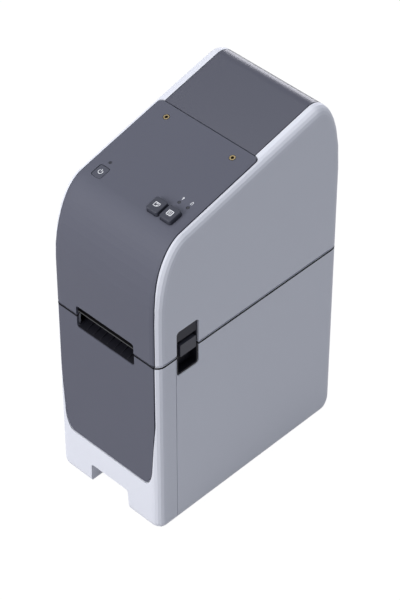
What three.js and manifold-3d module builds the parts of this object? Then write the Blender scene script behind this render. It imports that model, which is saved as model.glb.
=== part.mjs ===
// Desktop label maker: a narrow direct-thermal printer with a clamshell cover.
// Millimetres, +Z up. The origin is on the desk under the middle of the body, X runs across the
// width and the label leaves through the front, which faces -Y.
import * as THREE from "three";
import { mergeVertices } from "three/addons/utils/BufferGeometryUtils.js";
import Module from "manifold-3d";

const wasm = await Module();
wasm.setup();

// ---- Driving dimensions: the outer body ----
const WIDTH = 110;
const DEPTH = 196;
const HEIGHT = 323;
const SPLIT_Z = 178; // where the cover meets the base
const SPLIT_GAP = 1.4;
const FOOT_HEIGHT = 2; // the body stands this far off the desk
const WALL = 2.5;
const EDGE_RADIUS = 8; // round edge between the side walls and everything else
const TOP_SLOPE = 0.2432; // rise of the lid per millimetre towards the back
const FRONT_CURVE_Y = 33.8; // semi-axes of the round from the lid to the front
const FRONT_CURVE_SHARE = 0.478; // of the cover's height
const REAR_CURVE_Y = 28; // semi-axes of the round from the lid to the back
const REAR_CURVE_SHARE = 0.47; // of the cover's height
const BOTTOM_FRONT_RADIUS = 4;
const BOTTOM_REAR_RADIUS_Y = 11;
const BOTTOM_REAR_RADIUS_Z = 15;
const CURVE_STEPS = 15; // facets of each end curve

// ---- Driving dimensions: clearances ----
const GAP = 0.4; // between pieces that seat on each other
const PANEL_GAP = 0.8; // shadow gap round the panels and the window
const RUNNING = 0.5; // between a shaft and its bore
const SEATED = 0.3; // between a pin and the bore it is fixed in

// ---- Driving dimensions: panels, window and seams ----
const UPPER_PANEL_LENGTH = 109.4; // from the front to the window, along the desk
const PANEL_HALF_TOP = 49.4;
const PANEL_HALF_FRONT = 50.6;
const PANEL_HALF_LOW = 47.5;
const PANEL_CORNER = 3.5;
const PANEL_NARROWING = [0.08, 0.69]; // shares of the front curve over which the panel narrows
const WINDOW_HALF = 45;
const WINDOW_BACK_RISE = 1; // the window ends this far above the rear curve's foot
const LOWER_PANEL_BOTTOM_Z = 48.7;
const LOWER_PANEL_TAPER = 63; // below the split, where the lower panel starts to narrow
const LOWER_PANEL_CORNER_X = 8.5;
const LOWER_PANEL_CORNER_Z = 22;
const LOWER_PANEL_RECESS = 0.5;
const LOWER_PANEL_THICK = 2.2;
const FRONT_BACKING = 2; // web behind the lower panel
const FRONT_SHELL_LENGTH = 19.4; // from the front to the seam on the sides
const SIDE_SEAM_GAP = 0.5;
const PLATE_RIM = 6; // of the housing's floor round the bottom plate
const PLATE_RIM_BACK = 16;
const LINER_THICK = 2;

// ---- Driving dimensions: label exit ----
const EXIT_HALF = 30.3;
const EXIT_ABOVE_SPLIT = 9.3;
const EXIT_BELOW_SPLIT = 12.6;
const EXIT_CORNER = 2.6;
const LEDGE_DEPTH = 8.8;
const LEDGE_RISE = 2.6;
const RIB_COUNT = 9;
const RIB_THICK = 0.8;
const RIB_HEIGHT = 1.1;
const TEAR_BAR_ABOVE_SPLIT = 4;
const TEAR_BAR_THICK = 0.8;
const TEAR_BAR_LEG = 12;
const TEAR_BAR_SETBACK = 1.2; // from the front of the body to its edge

// ---- Driving dimensions: channel under the front ----
const CHANNEL_HALF = 19.5;
const CHANNEL_HEIGHT = 23; // above the underside of the body
const CHANNEL_FLARE = 8;
const CHANNEL_LENGTH = 58;

// ---- Driving dimensions: keys, lamps and inserts on the lid ----
const KEY_WIDTH = 11.4;
const KEY_LENGTH = 12.6;
const KEY_RISE = 4;
const KEY_CORNER = 1.8;
const KEY_SETBACK = 35.6; // from the front of the body to the middle of the keys
const FEED_KEY_X = 21.5;
const PRINT_KEY_X = 34.7;
const POWER_KEY_X = -36.6;
const POWER_KEY_SETBACK = 35.2;
const POWER_KEY_WIDTH = 9.2;
const POWER_KEY_LENGTH = 11;
const POWER_KEY_CORNER = 1.6;
const KEY_TRAVEL = 1;
const KEY_FLANGE_DROP = 0.9; // below the inside of the lid
const KEY_FLANGE_THICK = 1.2;
const KEY_SKIRT = 0.7; // the flange reaches this far past the cap
const KEY_EDGE = 0.9; // bevel round a raised cap
const POWER_KEY_EDGE = 0.3;
const KEY_STEM_RADIUS = 1.8;
const LAMP_RADIUS = 1.1;
const LAMP_SETBACK = 48.2;
const POWER_LAMP_SETBACK = 45.2;
const LAMP_X = [-36.6, 30.6, 39.1];
const INSERT_X = 33.4;
const INSERT_FROM_SEAM = 10.1;
const INSERT_RADIUS = 2.3;
const INSERT_BORE = 1.3;
const INSERT_LENGTH = 6;
const KEY_BOARD_DEPTH = 9; // below the lid's surface
const KEY_BOARD_HALF = 45;
const KEY_BOARD_FRONT = -7.5; // from the middle of the keys
const KEY_BOARD_BACK = 19;
const BOARD_THICK = 1.6;

// ---- Driving dimensions: release levers and latch ----
const RECESS_SETBACK = 20; // from the front of the body
const RECESS_LENGTH = 23;
const RECESS_ABOVE_SPLIT = 23.4;
const RECESS_BELOW_SPLIT = 20.6;
const RECESS_CORNER = 3;
const CUP_DEPTH = 8;
const CUP_WALL = 1.4;
const CUP_INSET = 0.6; // from the side face
const BEZEL_INSET = 1.4;
const BEZEL_THICK = 3.8;
const GRIP_INSET = 0.8;
const GRIP_THICK = 3;
const GRIP_LIFT = 4.6; // room above the grip for its travel
const GRIP_ABOVE_SPLIT = 7.4;
const GRIP_BELOW_SPLIT = 4;
const GRIP_LENGTH = 16.4;
const GRIP_MARGIN = 4.5; // from the recess's front edge to the grip
const LATCH_BEHIND_RECESS = 9;
const LATCH_ABOVE_SPLIT = 8;
const LATCH_SHAFT_RADIUS = 3;
const LATCH_EYE_RADIUS = 5.5;
const LATCH_ARM_INSET = 8.6; // from the side face to the inside of each arm
const LATCH_HOOK_BELOW_SPLIT = 10;
const STRIKER_BEHIND_LATCH = 5; // from the latch shaft's axis to the strikers' front

// ---- Driving dimensions: hinge ----
const HINGE_INSET = 3; // from the back face to the pin
const KNUCKLE_RADIUS = 2.6;
const KNUCKLE_LENGTH = 5;
const KNUCKLE_BLOCK = 12;
const HINGE_PIN_RADIUS = 1.2;
const HINGE_X = 30; // middle of each hinge
const COVER_KNUCKLE_LENGTH = 9.2;
const COVER_SWING = 80; // degrees

// ---- Driving dimensions: printing mechanism ----
const PLATEN_SETBACK = 18; // from the front of the body to the platen's axis
const PLATEN_RADIUS = 6;
const PLATEN_ABOVE_SPLIT = 8;
const PLATEN_HALF = 31;
const PLATEN_SHAFT_RADIUS = 2.5;
const BUSH_RADIUS = 4.2;
const BRACKET_INNER_X = 34.5;
const BRACKET_THICK = 3;
const BRACKET_BRIDGE = 1.8;
const BRACKET_ABOVE_TEAR_BAR = 18;
const GEAR_MODULE = 0.9;
const PLATEN_TEETH = 20;
const IDLER_TEETH = 22;
const PINION_TEETH = 12;
const GEAR_X = 40.4;
const GEAR_WIDTH = 4;
const GEAR_BACKLASH = 0.3;
const GEAR_ADDENDUM = 0.85; // in modules
const GEAR_DEDENDUM = 1.2; // in modules
const PRESSURE_ANGLE = (20 * Math.PI) / 180;
const PINION_BEARING = -62; // degrees, from the idler to the motor pinion
const FRAME_X = 38; // inner face of the side plates
const FRAME_THICK = 1.6;
const MOTOR_SIZE = 24;
const MOTOR_LENGTH = 26;
const MOTOR_BOSS_RADIUS = 4;
const IDLER_AXLE_RADIUS = 2;
const HEAD_THICK = 1.6;
const HEAT_SINK_HEIGHT = 4;
const HEAD_SPRING_HEIGHT = 4.4;
const HEAD_SPRING_RADIUS = 3;
const HEAD_SPRING_WIRE = 0.5;
const HEAD_SPRING_TURNS = 3;

// ---- Driving dimensions: label roll and guides ----
const ROLL_FROM_BACK = 70; // from the back face to the roll's axis
const ROLL_ABOVE_TRAY = 2;
const ROLL_RADIUS = 56;
const ROLL_HALF = 25.5;
const CORE_RADIUS = 14;
const CORE_BORE = 12.7;
const GUIDE_THICK = 2.5;
const GUIDE_HUB_LENGTH = 5;
const GUIDE_TRAVEL = 7;
const GUIDE_RADIUS = 20; // of the plates beside the roll
const PIVOT_RADIUS = 2.5; // of the pin between the racks
const TRAY_BELOW_SPLIT = 78;
const TRAY_THICK = 2;
const RACK_MODULE = 1;
const RACK_TEETH = 14; // on the pinion between the racks
const RACK_HEIGHT = 3.6;

// ---- Driving dimensions: electronics ----
const MAIN_BOARD_Z = 26;
const SOCKET_PANEL_HALF = 49;
const STANDOFF_X = 40;
const STANDOFF_RADIUS = 3;
const SOCKETS = [
  // name, middle x, width, height, depth, opening width, opening height
  ["dc_jack", -38, 10, 11, 14, 0, 0],
  ["usb_socket", -20, 12.5, 11.5, 15, 8.4, 7.6],
  ["network_socket", 2, 16, 13.6, 18, 12, 8.4],
  ["serial_socket", 30, 31, 12.5, 14, 20, 8.4],
];
const JACK_BORE = 3.3;
const JACK_PIN = 1.1;
const SOCKET_BACK_WALL = 3;
const SOCKET_PANEL_BELOW_BOARD = 3;
const SOCKET_PANEL_ABOVE_BOARD = 20;

// ---- Worked out from the driving dimensions ----
const HALF_W = WIDTH / 2;
const FRONT_Y = -DEPTH / 2;
const REAR_Y = DEPTH / 2;
const HINGE_Y = REAR_Y - HINGE_INSET;
const FRONT_CURVE_Z = (HEIGHT - SPLIT_Z) * FRONT_CURVE_SHARE;
const REAR_CURVE_Z = (HEIGHT - SPLIT_Z) * REAR_CURVE_SHARE;
const SEAM_Y = FRONT_Y + UPPER_PANEL_LENGTH;
const SIDE_SEAM_Y = FRONT_Y + FRONT_SHELL_LENGTH;
const EXIT_TOP_Z = SPLIT_Z + EXIT_ABOVE_SPLIT;
const EXIT_BOTTOM_Z = SPLIT_Z - EXIT_BELOW_SPLIT;
const TEAR_BAR_Z = SPLIT_Z + TEAR_BAR_ABOVE_SPLIT;
const CHANNEL_END_Y = FRONT_Y + CHANNEL_LENGTH;
const SOCKET_PANEL_LOW = MAIN_BOARD_Z - SOCKET_PANEL_BELOW_BOARD;
const SOCKET_PANEL_HIGH = MAIN_BOARD_Z + BOARD_THICK + SOCKET_PANEL_ABOVE_BOARD;
const KEY_Y = FRONT_Y + KEY_SETBACK;
const POWER_KEY_Y = FRONT_Y + POWER_KEY_SETBACK;
const LAMP_Y = FRONT_Y + LAMP_SETBACK;
const POWER_LAMP_Y = FRONT_Y + POWER_LAMP_SETBACK;
const INSERT_Y = SEAM_Y - INSERT_FROM_SEAM;
const RECESS_FRONT_Y = FRONT_Y + RECESS_SETBACK;
const RECESS_BACK_Y = RECESS_FRONT_Y + RECESS_LENGTH;
const RECESS_TOP_Z = SPLIT_Z + RECESS_ABOVE_SPLIT;
const RECESS_BOTTOM_Z = SPLIT_Z - RECESS_BELOW_SPLIT;
const GRIP_TOP_Z = SPLIT_Z + GRIP_ABOVE_SPLIT;
const GRIP_BOTTOM_Z = SPLIT_Z - GRIP_BELOW_SPLIT;
const GRIP_FRONT_Y = RECESS_FRONT_Y + GRIP_MARGIN;
const GRIP_BACK_Y = GRIP_FRONT_Y + GRIP_LENGTH;
const LATCH_Y = RECESS_BACK_Y + LATCH_BEHIND_RECESS;
const LATCH_Z = SPLIT_Z + LATCH_ABOVE_SPLIT;
const LATCH_HOOK_Z = SPLIT_Z - LATCH_HOOK_BELOW_SPLIT;
const STRIKER_FRONT_Y = LATCH_Y + STRIKER_BEHIND_LATCH;
const PLATEN_Y = FRONT_Y + PLATEN_SETBACK;
const TRAY_Z = SPLIT_Z - TRAY_BELOW_SPLIT;
const ROLL_Y = REAR_Y - ROLL_FROM_BACK;
const ROLL_Z = TRAY_Z + TRAY_THICK + ROLL_ABOVE_TRAY + ROLL_RADIUS;
const PLATEN_Z = SPLIT_Z + PLATEN_ABOVE_SPLIT;
const REAR_CENTRE_Y = REAR_Y - REAR_CURVE_Y;
const REAR_CENTRE_Z = HEIGHT - REAR_CURVE_Z;
const SLOPE_ANGLE = Math.atan(TOP_SLOPE);
const COVER_BOTTOM = SPLIT_Z + SPLIT_GAP / 2;
const BASE_TOP = SPLIT_Z - SPLIT_GAP / 2;
const LINER_INSET = WALL + GAP;
const LINER_INNER = LINER_INSET + LINER_THICK;
const BOARD_FRONT_Y = -20;
const BOARD_BACK_Y = REAR_Y - 12;
const FAR = 400; // longer than anything in the part
const PAST_SPLIT = 12; // side openings are drawn this far past the split, then cut at it

// Height of the sloping lid's outer surface, which touches both end curves.
function lidZ(y) {
  const over = Math.hypot(REAR_CURVE_Z, TOP_SLOPE * REAR_CURVE_Y);
  return REAR_CENTRE_Z + over + TOP_SLOPE * (y - REAR_CENTRE_Y);
}
const FRONT_CENTRE_Y = FRONT_Y + FRONT_CURVE_Y;
const FRONT_CENTRE_Z =
  lidZ(FRONT_CENTRE_Y) - Math.hypot(FRONT_CURVE_Z, TOP_SLOPE * FRONT_CURVE_Y);
const WINDOW_BACK_Z = REAR_CENTRE_Z + WINDOW_BACK_RISE;
const LOWER_PANEL_TAPER_Z = SPLIT_Z - LOWER_PANEL_TAPER;

// ---- Materials ----
function finish(color, roughness, metalness = 0) {
  return new THREE.MeshStandardMaterial({ color, roughness, metalness });
}
const finishes = {
  casing: finish(0xe3e4ea, 0.5),
  panel: finish(0x4c4e58, 0.5),
  smoke: finish(0x3f414c, 0.15),
  black: finish(0x17181c, 0.55),
  liner: finish(0x3a3b42, 0.6),
  steel: finish(0xb4b6ba, 0.3, 1),
  aluminium: finish(0xc4c7cc, 0.4, 1),
  brass: finish(0xc09a4e, 0.35, 1),
  rubber: finish(0x1c1c1e, 0.85),
  gear: finish(0xe9e6dc, 0.45),
  board: finish(0x1f5a3a, 0.5),
  paper: finish(0xf3f2ee, 0.8),
  card: finish(0xa98c63, 0.85),
  lamp: finish(0x24262c, 0.25),
  head: finish(0x55585c, 0.35),
};

// ---- Solids ----
function solid(geometry) {
  const bare = geometry.index ? geometry.toNonIndexed() : geometry.clone();
  for (const name of Object.keys(bare.attributes)) {
    if (name !== "position") bare.deleteAttribute(name);
  }
  const merged = mergeVertices(bare, 1e-4);
  return new wasm.Manifold(
    new wasm.Mesh({
      numProp: 3,
      vertProperties: new Float32Array(merged.attributes.position.array),
      triVerts: new Uint32Array(merged.index.array),
    }),
  );
}

function geometryOf(shape) {
  const mesh = shape.getMesh();
  const geometry = new THREE.BufferGeometry();
  const flat = new Float32Array(mesh.numVert * 3);
  for (let i = 0; i < mesh.numVert; i++) {
    const at = i * mesh.numProp;
    flat.set(mesh.vertProperties.subarray(at, at + 3), i * 3);
  }
  geometry.setAttribute("position", new THREE.BufferAttribute(flat, 3));
  geometry.setIndex(new THREE.BufferAttribute(new Uint32Array(mesh.triVerts), 1));
  geometry.computeVertexNormals();
  return geometry;
}

function join(...shapes) {
  return shapes.reduce((a, b) => a.add(b));
}

function cut(shape, ...tools) {
  return tools.reduce((a, b) => a.subtract(b), shape);
}

function box(x0, x1, y0, y1, z0, z1) {
  const geometry = new THREE.BoxGeometry(x1 - x0, y1 - y0, z1 - z0);
  geometry.translate((x0 + x1) / 2, (y0 + y1) / 2, (z0 + z1) / 2);
  return solid(geometry);
}

// The matrix that lays a drawing's two axes and its thickness along three directions.
const LAY = {
  x: new THREE.Matrix4().set(0, 0, 1, 0, 1, 0, 0, 0, 0, 1, 0, 0, 0, 0, 0, 1),
  y: new THREE.Matrix4().set(1, 0, 0, 0, 0, 0, -1, 0, 0, 1, 0, 0, 0, 0, 0, 1),
  z: new THREE.Matrix4(),
};

// A prism along an axis from a to b: the outline is [y, z] for x, [x, z] for y and [x, y] for z.
function prismGeometry(axis, outline, a, b, holes = []) {
  const shape = new THREE.Shape(outline.map(([u, v]) => new THREE.Vector2(u, v)));
  for (const hole of holes) {
    shape.holes.push(new THREE.Path(hole.map(([u, v]) => new THREE.Vector2(u, v))));
  }
  const geometry = new THREE.ExtrudeGeometry(shape, { depth: b - a, bevelEnabled: false });
  geometry.translate(0, 0, axis === "y" ? -b : a);
  return geometry.applyMatrix4(LAY[axis]);
}

function prism(axis, outline, a, b, holes = []) {
  return solid(prismGeometry(axis, outline, a, b, holes));
}

function arc(u, v, ru, rv, from, to, steps) {
  return Array.from({ length: steps + 1 }, (_, i) => {
    const t = ((from + ((to - from) * i) / steps) * Math.PI) / 180;
    return [u + ru * Math.cos(t), v + rv * Math.sin(t)];
  });
}

// An arc of an ellipse whose corners turn by equal angles: from and to are the directions it faces.
function facingArc(u, v, ru, rv, from, to, steps) {
  return Array.from({ length: steps + 1 }, (_, i) => {
    const facing = ((from + ((to - from) * i) / steps) * Math.PI) / 180;
    const reach = Math.hypot(ru * Math.cos(facing), rv * Math.sin(facing));
    return [u + (ru * ru * Math.cos(facing)) / reach, v + (rv * rv * Math.sin(facing)) / reach];
  });
}

function circle(u, v, r, steps = 24) {
  return arc(u, v, r, r, 0, 360 - 360 / steps, steps - 1);
}

function roundedRect(u0, u1, v0, v1, r, steps = 4) {
  return [
    ...arc(u1 - r, v0 + r, r, r, -90, 0, steps),
    ...arc(u1 - r, v1 - r, r, r, 0, 90, steps),
    ...arc(u0 + r, v1 - r, r, r, 90, 180, steps),
    ...arc(u0 + r, v0 + r, r, r, 180, 270, steps),
  ];
}

function rod(axis, u, v, r, a, b, steps = 24) {
  return prism(axis, circle(u, v, r, steps), a, b);
}

function tube(axis, u, v, r, bore, a, b, steps = 24) {
  return prism(axis, circle(u, v, r, steps), a, b, [circle(u, v, bore, steps)]);
}

// ---- The outer body and its offsets ----
function sideOutline(inset, detail) {
  const lidFacing = 90 + (SLOPE_ANGLE * 180) / Math.PI;
  const low = FOOT_HEIGHT + inset;
  const front = FRONT_Y + inset;
  const rear = REAR_Y - inset;
  const small = Math.max(BOTTOM_FRONT_RADIUS - inset, 0.6);
  const bigY = BOTTOM_REAR_RADIUS_Y - inset;
  const bigZ = BOTTOM_REAR_RADIUS_Z - inset;
  return [
    ...arc(front + small, low + small, small, small, 180, 270, 3),
    ...arc(rear - bigY, low + bigZ, bigY, bigZ, -90, 0, Math.round(6 * detail)),
    ...facingArc(
      REAR_CENTRE_Y,
      REAR_CENTRE_Z,
      REAR_CURVE_Y - inset,
      REAR_CURVE_Z - inset,
      0,
      lidFacing,
      Math.round(CURVE_STEPS * detail),
    ),
    ...facingArc(
      FRONT_CENTRE_Y,
      FRONT_CENTRE_Z,
      FRONT_CURVE_Y - inset,
      FRONT_CURVE_Z - inset,
      lidFacing,
      180,
      Math.round(CURVE_STEPS * detail),
    ),
  ];
}

function envelope(inset, detail = 1) {
  const radius = Math.max(EDGE_RADIUS - inset, 0.8);
  const outline = sideOutline(inset + radius, detail);
  const shape = new THREE.Shape(outline.map(([u, v]) => new THREE.Vector2(u, v)));
  const half = HALF_W - inset - radius;
  const geometry = new THREE.ExtrudeGeometry(shape, {
    depth: 2 * half,
    bevelEnabled: true,
    bevelThickness: radius,
    bevelSize: radius,
    bevelSegments: detail < 1 ? 2 : 5,
  });
  geometry.translate(0, 0, -half);
  return solid(geometry.applyMatrix4(LAY.x));
}

const outer = envelope(0);
const inner = envelope(WALL, 0.5);
const linerOuter = envelope(LINER_INSET, 0.5);
const linerInner = envelope(LINER_INNER, 0.5);

// Everything above or below the split, with a V cut behind the hinge pin that lets the cover swing.
function splitSide(up, level) {
  const run = 40;
  const rise = run * Math.tan(((COVER_SWING / 2 + 2) * Math.PI) / 180);
  const outline = [
    [-FAR, level],
    [HINGE_Y, level],
    [HINGE_Y + run, level + up * rise],
    [HINGE_Y + run, level + up * FAR],
    [-FAR, level + up * FAR],
  ];
  return prism("x", up > 0 ? outline : outline.reverse(), -FAR, FAR);
}
const above = splitSide(1, COVER_BOTTOM);
const below = splitSide(-1, BASE_TOP);

// ---- Panel and window outlines ----
function ease(t) {
  return (1 - Math.cos(Math.PI * t)) / 2;
}

// The upper panel's space, seen from the front and from above, grown by a clearance.
function upperPanelSpace(grow) {
  const steps = 8;
  const right = [[PANEL_HALF_FRONT + grow, SPLIT_Z - 20]];
  for (let i = 0; i <= steps; i++) {
    const share = PANEL_NARROWING[0] + ((PANEL_NARROWING[1] - PANEL_NARROWING[0]) * i) / steps;
    const z = FRONT_CENTRE_Z + FRONT_CURVE_Z * share;
    const half = PANEL_HALF_FRONT + (PANEL_HALF_TOP - PANEL_HALF_FRONT) * ease(i / steps);
    right.push([half + grow, z]);
  }
  right.push([PANEL_HALF_TOP + grow, HEIGHT + 20]);
  const left = right.map(([x, z]) => [-x, z]).reverse();
  const fromFront = prism("y", [...right, ...left], -FAR, SEAM_Y + grow);
  const back = SEAM_Y + grow;
  const half = PANEL_HALF_TOP + grow;
  const fromAbove = [
    [-FAR, -FAR],
    [FAR, -FAR],
    [FAR, FRONT_CENTRE_Y],
    [half, FRONT_CENTRE_Y],
    ...arc(half - PANEL_CORNER, back - PANEL_CORNER, PANEL_CORNER, PANEL_CORNER, 0, 90, 4),
    ...arc(PANEL_CORNER - half, back - PANEL_CORNER, PANEL_CORNER, PANEL_CORNER, 90, 180, 4),
    [-half, FRONT_CENTRE_Y],
    [-FAR, FRONT_CENTRE_Y],
  ];
  return fromFront.intersect(prism("z", fromAbove, -FAR, FAR));
}

function windowSpace(grow) {
  const half = WINDOW_HALF + grow;
  return box(-half, half, SEAM_Y + PANEL_GAP - grow, FAR, WINDOW_BACK_Z - grow, FAR);
}

function lowerPanelOutline(grow) {
  const low = LOWER_PANEL_BOTTOM_Z - grow;
  const cornerX = LOWER_PANEL_CORNER_X;
  const cornerZ = LOWER_PANEL_CORNER_Z;
  const half = PANEL_HALF_LOW + grow;
  const right = [
    ...arc(half - cornerX, low + cornerZ, cornerX, cornerZ, -90, 0, 7),
    [PANEL_HALF_FRONT + grow, LOWER_PANEL_TAPER_Z],
    [PANEL_HALF_FRONT + grow, SPLIT_Z + grow],
  ];
  return [...right, ...right.map(([x, z]) => [-x, z]).reverse()];
}

// ---- Scene graph ----
const printer = new THREE.Group();
const base = new THREE.Group();
const cover = new THREE.Group();
printer.add(base, cover);

function piece(parent, name, material, shape) {
  const geometry = shape.isBufferGeometry ? shape : geometryOf(shape);
  const mesh = new THREE.Mesh(geometry, material);
  mesh.name = name;
  parent.add(mesh);
  return mesh;
}

function bothSides(make) {
  for (const [name, side] of [
    ["left", -1],
    ["right", 1],
  ]) {
    make(name, side);
  }
}

// A box given from the middle outwards on one side.
function sideBox(side, x0, x1, y0, y1, z0, z1) {
  return box(Math.min(side * x0, side * x1), Math.max(side * x0, side * x1), y0, y1, z0, z1);
}

function sidePrism(side, outline, x0, x1) {
  return prism("x", outline, Math.min(side * x0, side * x1), Math.max(side * x0, side * x1));
}

function sideRod(side, y, z, r, x0, x1, steps = 24) {
  return sidePrism(side, circle(y, z, r, steps), x0, x1);
}

// ---- Hinge ----
const HINGE_ENDS = COVER_KNUCKLE_LENGTH / 2 + GAP;
const SWING_CLEARANCE = 3.8; // radius kept free round the pin beside a knuckle

function knuckle(x0, x1, up) {
  const y0 = HINGE_Y - 2;
  const far = SPLIT_Z + up * KNUCKLE_BLOCK;
  const block = box(
    x0,
    x1,
    y0,
    HINGE_Y + KNUCKLE_RADIUS,
    Math.min(SPLIT_Z, far),
    Math.max(SPLIT_Z, far),
  );
  const eye = rod("x", HINGE_Y, SPLIT_Z, KNUCKLE_RADIUS, x0, x1, 20);
  const bore = rod("x", HINGE_Y, SPLIT_Z, HINGE_PIN_RADIUS + 0.3, x0 - 1, x1 + 1, 16);
  return { shape: join(block, eye), bore };
}

function hingeSpans(side) {
  const middle = side * HINGE_X;
  const reach = HINGE_ENDS + KNUCKLE_LENGTH;
  return {
    cover: [middle - COVER_KNUCKLE_LENGTH / 2, middle + COVER_KNUCKLE_LENGTH / 2],
    base: [
      [middle - reach, middle - HINGE_ENDS],
      [middle + HINGE_ENDS, middle + reach],
    ],
  };
}

function clearRound([x0, x1]) {
  return rod("x", HINGE_Y, SPLIT_Z, SWING_CLEARANCE, x0 - GAP, x1 + GAP, 20);
}

function addKnuckles(shape, up) {
  let made = shape;
  for (const side of [-1, 1]) {
    const spans = hingeSpans(side);
    const own = up > 0 ? [spans.cover] : spans.base;
    const other = up > 0 ? spans.base : [spans.cover];
    made = cut(made, ...other.map(clearRound));
    for (const [x0, x1] of own) {
      const part = knuckle(x0, x1, up);
      made = cut(made.add(part.shape), part.bore);
    }
  }
  return made;
}

// ---- Lid fittings are placed on the sloping surface ----
function onLid(geometry, x, y) {
  geometry.rotateX(SLOPE_ANGLE);
  geometry.translate(x, y, lidZ(y));
  return geometry;
}

function lidHole(outline, x, y, deep = 14) {
  return solid(onLid(prismGeometry("z", outline, -deep, 8), x, y));
}

function placeOnLid(mesh, x, y) {
  mesh.position.set(x, y, lidZ(y));
  mesh.rotation.x = SLOPE_ANGLE;
}

function keyOutline(width, length, corner, grow = 0) {
  const u = width / 2 + grow;
  const v = length / 2 + grow;
  return roundedRect(-u, u, -v, v, corner + grow);
}

const KEYS = [
  ["power_button", POWER_KEY_X, POWER_KEY_Y, POWER_KEY_WIDTH, POWER_KEY_LENGTH, POWER_KEY_CORNER, 0],
  ["feed_button", FEED_KEY_X, KEY_Y, KEY_WIDTH, KEY_LENGTH, KEY_CORNER, KEY_RISE],
  ["print_button", PRINT_KEY_X, KEY_Y, KEY_WIDTH, KEY_LENGTH, KEY_CORNER, KEY_RISE],
];
const LAMPS = [
  ["power_lamp", LAMP_X[0], POWER_LAMP_Y],
  ["status_lamp", LAMP_X[1], LAMP_Y],
  ["battery_lamp", LAMP_X[2], LAMP_Y],
];

function keyHoles(grow, deep) {
  return KEYS.map(([, x, y, width, length, corner]) =>
    lidHole(keyOutline(width, length, corner, grow), x, y, deep),
  );
}

function lampHoles(grow) {
  return LAMPS.map(([, x, y]) => lidHole(circle(0, 0, LAMP_RADIUS + grow, 14), x, y));
}

function insertHoles() {
  return [-1, 1].map((side) =>
    lidHole(circle(0, 0, INSERT_RADIUS + GAP, 16), side * INSERT_X, INSERT_Y),
  );
}

// ---- Cover ----
function recessOutline(grow, z0, z1) {
  return roundedRect(
    RECESS_FRONT_Y - grow,
    RECESS_BACK_Y + grow,
    z0 - grow,
    z1 + grow,
    RECESS_CORNER + grow,
  );
}

function makeCoverShell() {
  let shell = cut(outer, inner).intersect(above);
  shell = cut(shell, upperPanelSpace(PANEL_GAP), windowSpace(PANEL_GAP));
  for (const side of [-1, 1]) {
    const hole = recessOutline(0, SPLIT_Z - PAST_SPLIT, RECESS_TOP_Z);
    shell = cut(shell, sidePrism(side, hole, HALF_W - WALL - 1, HALF_W + 1));
  }
  piece(cover, "cover_shell", finishes.casing, addKnuckles(shell, 1));
}

function exitNotch(z0, z1, corner, grow) {
  const half = EXIT_HALF + grow;
  return prism("y", roundedRect(-half, half, z0, z1, corner), FRONT_Y - 1, FRONT_Y + 8);
}

function makeUpperPanel() {
  let panel = cut(outer, inner).intersect(above).intersect(upperPanelSpace(0));
  panel = cut(panel, exitNotch(SPLIT_Z - 12, EXIT_TOP_Z, EXIT_CORNER, 0));
  panel = cut(panel, ...keyHoles(GAP, 8), ...lampHoles(0.3), ...insertHoles());
  piece(cover, "upper_panel", finishes.panel, panel);
}

function makeWindow() {
  const pane = cut(outer, inner).intersect(windowSpace(0));
  piece(cover, "roll_window", finishes.smoke, pane);
}

function makeCoverLiner() {
  const raised = COVER_BOTTOM + 1;
  let liner = cut(linerOuter, linerInner);
  liner = liner.intersect(box(-FAR, FAR, -FAR, FAR, raised, FAR));
  const windowEdge = 4.4;
  liner = cut(
    liner,
    box(
      windowEdge - WINDOW_HALF,
      WINDOW_HALF - windowEdge,
      SEAM_Y + 6,
      FAR,
      WINDOW_BACK_Z + 6,
      FAR,
    ),
  );
  const keyZone = box(-44, 44, KEY_Y - 12, LAMP_Y + 6, FRONT_CENTRE_Z, FAR);
  const exitZone = box(-EXIT_HALF - 2, EXIT_HALF + 2, FRONT_Y, FRONT_Y + 12, 0, EXIT_TOP_Z + 1);
  const hingeZone = box(-FAR, FAR, HINGE_Y - 8, FAR, 0, SPLIT_Z + KNUCKLE_BLOCK + 3);
  liner = cut(liner, keyZone, exitZone, hingeZone, ...insertHoles());
  for (const side of [-1, 1]) {
    const leverZone = sideBox(
      side,
      HALF_W - 8,
      HALF_W,
      RECESS_FRONT_Y - 1,
      RECESS_BACK_Y + 1,
      0,
      RECESS_TOP_Z + 1,
    );
    const shaftHole = sideRod(
      side,
      LATCH_Y,
      LATCH_Z,
      LATCH_SHAFT_RADIUS + RUNNING,
      HALF_W - 8,
      HALF_W,
    );
    liner = cut(liner, leverZone, shaftHole);
  }
  piece(cover, "cover_liner", finishes.liner, liner);
}

function makeKeys() {
  for (const [name, x, y, width, length, corner, rise] of KEYS) {
    const foot = WALL + KEY_FLANGE_DROP + 0.3; // how far the cap reaches into the lid
    const edge = rise > 0 ? KEY_EDGE : POWER_KEY_EDGE;
    const outline = keyOutline(width, length, corner, -edge);
    const shape = new THREE.Shape(outline.map(([u, v]) => new THREE.Vector2(u, v)));
    const cap = new THREE.ExtrudeGeometry(shape, {
      depth: rise + foot - 2 * edge,
      bevelEnabled: true,
      bevelThickness: edge,
      bevelSize: edge,
      bevelSegments: 3,
    });
    cap.translate(0, 0, edge - foot);
    const flangeTop = -WALL - KEY_FLANGE_DROP;
    const flange = prismGeometry(
      "z",
      keyOutline(width, length, corner, KEY_SKIRT),
      flangeTop - KEY_FLANGE_THICK,
      flangeTop,
    );
    const stemEnd = -KEY_BOARD_DEPTH + KEY_TRAVEL + GAP;
    const stem = prismGeometry("z", circle(0, 0, KEY_STEM_RADIUS, 12), stemEnd, flangeTop);
    const whole = join(solid(cap), solid(flange), solid(stem));
    placeOnLid(piece(cover, name, finishes.black, whole), x, y);
  }
}

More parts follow.
